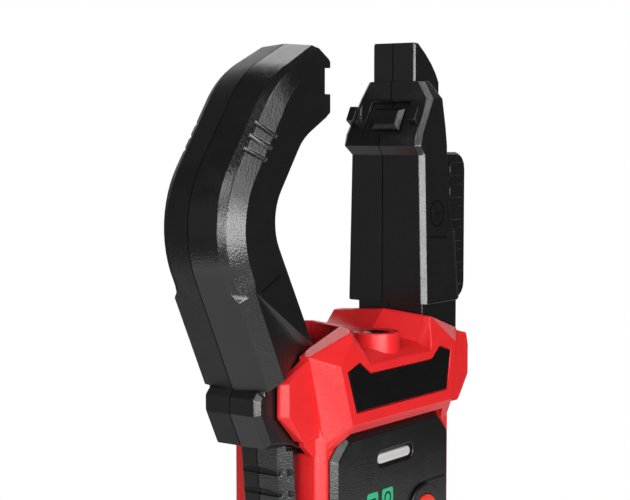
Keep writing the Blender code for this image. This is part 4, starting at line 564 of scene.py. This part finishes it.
class Surface:
    """The front of a CAD node, looked at along the depth axis."""

    def __init__(self, node):
        mesh = NODES[node].data
        corners = [corner.co.copy() for corner in mesh.vertices]
        self.tree = BVHTree.FromPolygons(corners, [tuple(face.vertices) for face in mesh.polygons])

    def depth(self, x, z):
        return self.tree.ray_cast(Vector((x, FRONT_OF_ALL, z)), INTO_DEPTH)[0].y

    def loops(self, outline, lift):
        """The foot and the top of a mark that lies on the surface."""
        points = [(x, self.depth(x, z), z) for x, z in outline]
        foot = [Vector((x, y + MARK_SINK, z)) for x, y, z in points]
        top = [Vector((x, y - lift, z)) for x, y, z in points]
        return foot, top


def circle(centre, radius):
    """Points round a centre in a plane."""
    turns = [2 * math.pi * i / RING_STEPS for i in range(RING_STEPS)]
    return [(centre[0] + radius * math.sin(a), centre[1] + radius * math.cos(a)) for a in turns]


def cut_box(left, right, low, high, corner):
    """A box outline with its corners cut."""
    return (
        (left + corner, low),
        (right - corner, low),
        (right, low + corner),
        (right, high - corner),
        (right - corner, high),
        (left + corner, high),
        (left, high - corner),
        (left, low + corner),
    )


def add_rows(bm, loops):
    """Mesh corners for each point of each loop."""
    return [[bm.verts.new(point) for point in loop] for loop in loops]


def add_skin(bm, lower, upper):
    """Faces between two closed rows of as many points."""
    for i in range(len(lower)):
        j = (i + 1) % len(lower)
        bm.faces.new((lower[i], lower[j], upper[j], upper[i]))


def add_loft(bm, loops):
    """Skins a row of closed loops and closes both ends."""
    rows = add_rows(bm, loops)
    for lower, upper in zip(rows, rows[1:]):
        add_skin(bm, lower, upper)
    bm.faces.new(rows[0][::-1])
    bm.faces.new(rows[-1])


def add_patch(bm, surface, outline, lift=MARK_LIFT):
    """A filled mark that follows the surface."""
    add_loft(bm, surface.loops(outline, lift))


def add_band(bm, surface, outer, inner, lift=MARK_LIFT):
    """A closed band between two outlines of as many points."""
    outer_foot, outer_top = surface.loops(outer, lift)
    inner_foot, inner_top = surface.loops(inner, lift)
    rows = add_rows(bm, (outer_foot, outer_top, inner_top, inner_foot))
    for lower, upper in zip(rows, rows[1:] + rows[:1]):
        add_skin(bm, lower, upper)


def add_ring(bm, surface, centre, radius, width, lift=MARK_LIFT):
    """A round stroke that follows the surface."""
    add_band(bm, surface, circle(centre, radius + width / 2), circle(centre, radius - width / 2), lift)


def add_line(bm, surface, start, end, width, lift=MARK_LIFT):
    """A straight stroke with rounded ends that follows the surface."""
    start, end = Vector(start), Vector(end)
    along = (end - start).normalized() * width / 2
    side = along.orthogonal()
    tip, brink = along * STROKE_TIP, side * STROKE_TIP
    spots = [start.lerp(end, i / STROKE_STEPS) for i in range(STROKE_STEPS + 1)]
    outline = [spot + side for spot in spots] + [end + tip + brink, end + tip - brink]
    outline += [spot - side for spot in reversed(spots)] + [start - tip - brink, start - tip + brink]
    add_patch(bm, surface, outline, lift)


def add_words(bm, surface, words, x, z, size):
    """Upright lettering on a flat front."""
    curve = bpy.data.curves.new("words", "FONT")
    curve.body = words
    curve.size = size
    curve.align_x = "CENTER"
    curve.align_y = "CENTER"
    curve.extrude = MARK_LIFT
    holder = bpy.data.objects.new("words", curve)
    mesh = holder.to_mesh()
    upright = Matrix.Translation((x, surface.depth(x, z), z)) @ Matrix.Rotation(math.pi / 2, 4, "X")
    mesh.transform(upright)
    bm.from_mesh(mesh)
    holder.to_mesh_clear()
    bpy.data.objects.remove(holder)
    bpy.data.curves.remove(curve)


def dress_case(paints):
    """The case, its panel, the dial's knob and the buttons."""
    for node in ("front_housing", "rear_housing"):
        dressed(node, paints["red"], HOUSING_ROUND)
    dressed("battery_door", paints["red"], SMALL_ROUND)
    dressed("front_panel", paints["panel"], PANEL_ROUND)
    dressed("label_plate", paints["label"], SMALL_ROUND)
    dressed("indicator_light_pipe", paints["pale"], PANEL_ROUND)
    dressed("selector_knob", paints["black"], KNOB_ROUND)
    for button in ("hold_button", "select_button"):
        dressed(button, paints["orange"], KNOB_ROUND)
        dressed(f"{button}_ring", paints["panel"], SMALL_ROUND)


def dress_jaws(paints):
    """Both jaws; the moving jaw's rear shell is duller, so that its outline shows no white rim."""
    for node in ("fixed_jaw_front_shell", "fixed_jaw_rear_shell", "moving_jaw_front_shell"):
        dressed(node, paints["black"], JAW_ROUND)
    dressed("moving_jaw_rear_shell", paints["dull_black"], JAW_ROUND)
    for node in ("fixed_jaw_pole_cap", "moving_jaw_pole_cap"):
        dressed(node, paints["black"], SMALL_ROUND)


def paint_inside(paints):
    """The CAD nodes that keep their own shape."""
    looks = {
        "clear": ("lcd_window",),
        "pale": ("torch_led",),
        "lcd": ("lcd_module",),
        "board": ("main_board",),
        "steel": ("jaw_pivot_pin", "jaw_return_spring", "battery_door_screw"),
        "core": ("fixed_jaw_core", "moving_jaw_core"),
        "copper": ("fixed_jaw_coil", "moving_jaw_coil"),
        "brass": ("left_input_jack", "right_input_jack"),
        "cell": ("battery_1", "battery_2", "battery_3"),
        "black": ("battery_tray", "buzzer"),
    }
    for look, nodes in looks.items():
        for node in nodes:
            paint(node, paints[look])
    for screw in ("case_screw_1", "case_screw_2", "case_screw_3", "case_screw_4"):
        paint(screw, paints["steel"])


def make_jaw_signs(paints):
    """The ring with a cross on the fixed jaw, and a stroke on each jaw."""
    bm = bmesh.new()
    surface = Surface("fixed_jaw_front_shell")
    x, z = JAW_SIGN_CENTRE
    add_ring(bm, surface, JAW_SIGN_CENTRE, JAW_SIGN_RADIUS, MARK_LINE)
    for across, along in ((JAW_SIGN_CROSS, 0.0), (0.0, JAW_SIGN_CROSS)):
        add_line(bm, surface, (x - across, z - along), (x + across, z + along), MARK_LINE)
    add_line(bm, surface, *JAW_SIGN_LINE, MARK_LINE)
    finished("fixed_jaw_sign", bm, paints["label"], "housing")
    bm = bmesh.new()
    add_line(bm, Surface("moving_jaw_front_shell"), *MOVING_SIGN_LINE, MARK_LINE)
    finished("moving_jaw_sign", bm, paints["label"], "moving_jaw")


def make_patches(paints, surface):
    """Green patches with plain signs, and a dark rule, at the panel's top."""
    bm = bmesh.new()
    low = PATCH_TOP - PATCH_HEIGHT
    for left, right in PATCH_SIDES:
        add_patch(bm, surface, cut_box(left, right, low, PATCH_TOP, PATCH_CORNER))
    finished("panel_patches", bm, paints["green_ink"], "housing")
    bm = bmesh.new()
    add_line(bm, surface, *PANEL_RULE, MARK_LINE)
    first, second = ((left + right) / 2 for left, right in PATCH_SIDES)
    middle = low + PATCH_HEIGHT / 2
    for rise in (-PATCH_SIGN_REACH / 2, PATCH_SIGN_REACH / 2):
        ends = [(first + side * PATCH_SIGN_REACH, middle + rise) for side in (-1, 1)]
        add_line(bm, surface, *ends, MARK_LINE, PATCH_SIGN_LIFT)
    add_ring(bm, surface, (second, middle), PATCH_SIGN_REACH, MARK_LINE, PATCH_SIGN_LIFT)
    finished("panel_signs", bm, paints["label"], "housing")


def dial_spot(angle, radius):
    """A point round the dial, as x and z."""
    turn = math.radians(angle)
    return DIAL_CENTRE + Vector((math.sin(turn), math.cos(turn))) * radius


def make_dial_print(paints, surface):
    """The dial's ticks and numbers, and the pointer on its knob."""
    bm = bmesh.new()
    for angle in TICK_ANGLES:
        start, end = (dial_spot(angle, radius) for radius in TICK_RADII)
        add_line(bm, surface, start, end, MARK_LINE)
    for angle, words, radius in NUMBERS:
        add_words(bm, surface, words, *dial_spot(angle, radius), NUMBER_SIZE)
    finished("dial_print", bm, paints["white_ink"], "housing")
    bm = bmesh.new()
    low, high = POINTER_SPAN
    add_line(bm, Surface("selector_knob"), (0.0, low), (0.0, high), POINTER_WIDTH)
    finished("knob_pointer", bm, paints["white_ink"], "selector")


def nought_strokes(x, z):
    """Start and end of each bar of a nought with its centre at x and z."""
    half, tall = DIGIT_SIZE[0] / 2, DIGIT_SIZE[1] / 2
    gap = DIGIT_STROKE * DIGIT_GAP_SHARE
    bars = (
        ((-half + gap, tall), (half - gap, tall)),
        ((half, tall - gap), (half, gap)),
        ((half, -gap), (half, -tall + gap)),
        ((-half + gap, -tall), (half - gap, -tall)),
        ((-half, -gap), (-half, -tall + gap)),
        ((-half, tall - gap), (-half, gap)),
    )
    centre = Vector((x, z))
    return [[centre + Vector(end) for end in bar] for bar in bars]


def make_display(paints):
    """The reading behind the window, and the dark border printed on it over the case's rim."""
    surface = Surface("lcd_module")
    bm = bmesh.new()
    first = DISPLAY_CENTRE[0] - DIGIT_STEP * (DIGIT_COUNT - 1) / 2
    for i in range(DIGIT_COUNT):
        for start, end in nought_strokes(first + i * DIGIT_STEP, DISPLAY_CENTRE[1]):
            add_line(bm, surface, start, end, DIGIT_STROKE)
    finished("display_reading", bm, paints["dark_ink"], "housing")
    low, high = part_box("lcd_window")
    left, right = low[0] + BORDER_INSET, high[0] - BORDER_INSET
    outer = cut_box(left, right, low[2] + BORDER_INSET, high[2] - BORDER_INSET, BORDER_CORNER)
    inner = cut_box(*BORDER_OPENING, BORDER_CORNER)
    bm = bmesh.new()
    add_band(bm, Surface("lcd_window"), outer, inner)
    finished("display_border", bm, paints["label"], "housing")


def grip_section(z, groove):
    """The grip's outline at one height, cut back where it crosses a groove."""
    outer_x = GRIP_START_X + (GRIP_START_Z - z) * GRIP_LEAN
    rear = Vector((outer_x, GRIP_REAR_Y, z))
    front = Vector((outer_x + GRIP_RUN, GRIP_FRONT_Y, z))
    middle = rear.lerp(front, RIB_SHARE)
    inward = Vector((GRIP_REAR_Y - GRIP_FRONT_Y, GRIP_RUN, 0.0)).normalized()
    if groove:
        rear += inward * RIB_DEPTH
        middle += inward * RIB_DEPTH
    inner = Vector((max(GRIP_INNER_X, front.x + RIB_FLANK), GRIP_INNER_Y, z))
    return [rear, middle, front, inner, inner + inward * GRIP_SUNK, rear + inward * GRIP_SUNK]


def make_grip(paints):
    """The ribbed wedge along the trigger's front edge."""
    sections = [grip_section(GRIP_TOP, False)]
    for i in range(RIB_COUNT):
        top = RIB_START - i * RIB_SPACING
        low = top - RIB_GAP
        sections.append(grip_section(top, False))
        sections.append(grip_section(top - RIB_FLANK, True))
        sections.append(grip_section(low + RIB_FLANK, True))
        sections.append(grip_section(low, False))
    sections.append(grip_section(GRIP_FOOT, False))
    bm = bmesh.new()
    add_loft(bm, sections)
    finished("trigger_grip", bm, paints["black"], "moving_jaw", SMALL_ROUND)


def make_lens(paints):
    """The torch's domed lens, in place of the flat one; its near-black colour is painted shade for the
    torch's shaded hollow.
    """
    low, high = (Vector(corner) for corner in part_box("torch_lens"))
    centre = (low + high) / 2
    radius = (high.x - low.x) / 2
    loops = []
    for rise, share in LENS_PROFILE:
        around = circle((centre.y, centre.x), radius * share)
        loops.append([Vector((x, y, low.z + rise)) for y, x in around])
    bm = bmesh.new()
    add_loft(bm, loops)
    for face in bm.faces:
        face.smooth = True
    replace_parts(finished("torch_lens_dome", bm, paints["lens"], "housing"), "torch_lens")


def make_gusset(paints):
    """The case's gusset in front of the moving jaw's arm, below the left guard."""
    bm = bmesh.new()
    add_loft(bm, [[Vector((x, y, z)) for x, z in GUSSET_OUTLINE] for y in GUSSET_Y])
    finished("case_gusset", bm, paints["red"], "housing", SMALL_ROUND)


def joined(tree, operation, first, second):
    """A math node of two values."""
    node = tree.nodes.new("ShaderNodeMath")
    node.operation = operation
    tree.links.new(first, node.inputs[0])
    tree.links.new(second, node.inputs[1])
    return node.outputs["Value"]


def any_ray(tree, *names):
    """One when a ray is of any of the given kinds."""
    path = tree.nodes.new("ShaderNodeLightPath")
    total = path.outputs[names[0]]
    for name in names[1:]:
        total = joined(tree, "MAXIMUM", total, path.outputs[name])
    return total


def ramp(tree, value, source_low, source_high, low, high):
    """A smooth step from low to high between two source values."""
    node = tree.nodes.new("ShaderNodeMapRange")
    node.interpolation_type = "SMOOTHSTEP"
    node.inputs["From Min"].default_value = source_low
    node.inputs["From Max"].default_value = source_high
    node.inputs["To Min"].default_value = low
    node.inputs["To Max"].default_value = high
    tree.links.new(value, node.inputs["Value"])
    return node.outputs["Result"]


def set_world():
    """A white backdrop for the camera, glass and gloss, and a dim room on the other sides."""
    world = bpy.data.worlds.new("studio")
    SCENE.world = world
    world.use_nodes = True
    tree = world.node_tree
    background = tree.nodes["Background"]
    background.inputs["Color"].default_value = (1.0, 1.0, 1.0, 1.0)
    direction = tree.nodes.new("ShaderNodeTexCoord").outputs["Generated"]
    facing = tree.nodes.new("ShaderNodeVectorMath")
    facing.operation = "DOT_PRODUCT"
    facing.inputs[1].default_value = (math.sin(BACKDROP_AZIMUTH), -math.cos(BACKDROP_AZIMUTH), 0.0)
    tree.links.new(direction, facing.inputs[0])
    axes = tree.nodes.new("ShaderNodeSeparateXYZ")
    tree.links.new(direction, axes.inputs["Vector"])
    behind = ramp(tree, facing.outputs["Value"], BACKDROP_EDGE, BACKDROP_FULL, 0.0, 1.0)
    raised = ramp(tree, axes.outputs["Z"], BACKDROP_LOW, BACKDROP_HIGH, 0.0, 1.0)
    backdrop = joined(tree, "MULTIPLY", behind, raised)
    gloss = joined(tree, "MULTIPLY", backdrop, any_ray(tree, "Is Glossy Ray"))
    white = joined(tree, "MAXIMUM", gloss, any_ray(tree, "Is Camera Ray", "Is Transmission Ray"))
    strength = ramp(tree, white, 0.0, 1.0, ROOM_STRENGTH, 1.0)
    tree.links.new(strength, background.inputs["Strength"])


def set_lights():
    """The softboxes, all turned to one point of the object."""
    for name, azimuth, elevation, distance, width, height, radiance in SOFTBOXES:
        turn = math.radians(azimuth)
        rise = math.radians(elevation)
        level = math.cos(rise)
        toward = Vector((math.sin(turn) * level, -math.cos(turn) * level, math.sin(rise)))
        lamp = bpy.data.lights.new(name, "AREA")
        lamp.shape = "RECTANGLE"
        lamp.size = width
        lamp.size_y = height
        lamp.energy = radiance * math.pi * width * height
        obj = bpy.data.objects.new(name, lamp)
        obj.location = LIGHT_AIM + toward * distance
        obj.rotation_euler = toward.to_track_quat("Z", "Y").to_euler()
        SCENE.collection.objects.link(obj)


def floor_material():
    """Pale and matt, and white at a distance for all that looks at it."""
    material = bpy.data.materials.new("floor")
    material.use_nodes = True
    tree = material.node_tree
    shader = tree.nodes["Principled BSDF"]
    shader.inputs["Base Color"].default_value = (*FLOOR_GREY, 1.0)
    shader.inputs["Roughness"].default_value = FLOOR_ROUGHNESS
    white = tree.nodes.new("ShaderNodeEmission")
    reach = tree.nodes.new("ShaderNodeVectorMath")
    reach.operation = "LENGTH"
    tree.links.new(tree.nodes.new("ShaderNodeTexCoord").outputs["Object"], reach.inputs[0])
    fade = ramp(tree, reach.outputs["Value"], FLOOR_FADE_START, FLOOR_FADE_END, FLOOR_NEAR_SHARE, 1.0)
    rays = any_ray(tree, "Is Camera Ray", "Is Glossy Ray", "Is Transmission Ray")
    mixer = tree.nodes.new("ShaderNodeMixShader")
    tree.links.new(joined(tree, "MULTIPLY", fade, rays), mixer.inputs["Fac"])
    tree.links.new(shader.outputs["BSDF"], mixer.inputs[1])
    tree.links.new(white.outputs["Emission"], mixer.inputs[2])
    tree.links.new(mixer.outputs["Shader"], tree.nodes["Material Output"].inputs["Surface"])
    return material


def make_floor():
    """A plain pale floor that keeps the object's shadow close by."""
    mesh = bpy.data.meshes.new("floor")
    bm = bmesh.new()
    bmesh.ops.create_circle(bm, cap_ends=True, segments=FLOOR_STEPS, radius=FLOOR_RADIUS)
    bm.to_mesh(mesh)
    bm.free()
    mesh.materials.append(floor_material())
    floor = bpy.data.objects.new("floor", mesh)
    floor.location.z = CAD_BOX[0][2] - FLOOR_GAP
    SCENE.collection.objects.link(floor)


def build():
    SCENE.view_settings.view_transform = "Standard"
    set_camera()
    paints = make_materials()
    dress_case(paints)
    dress_jaws(paints)
    paint_inside(paints)
    make_jaw_signs(paints)
    panel = Surface("front_panel")
    make_patches(paints, panel)
    make_dial_print(paints, panel)
    make_display(paints)
    make_grip(paints)
    make_lens(paints)
    make_gusset(paints)
    make_floor()
    set_world()
    set_lights()


build()
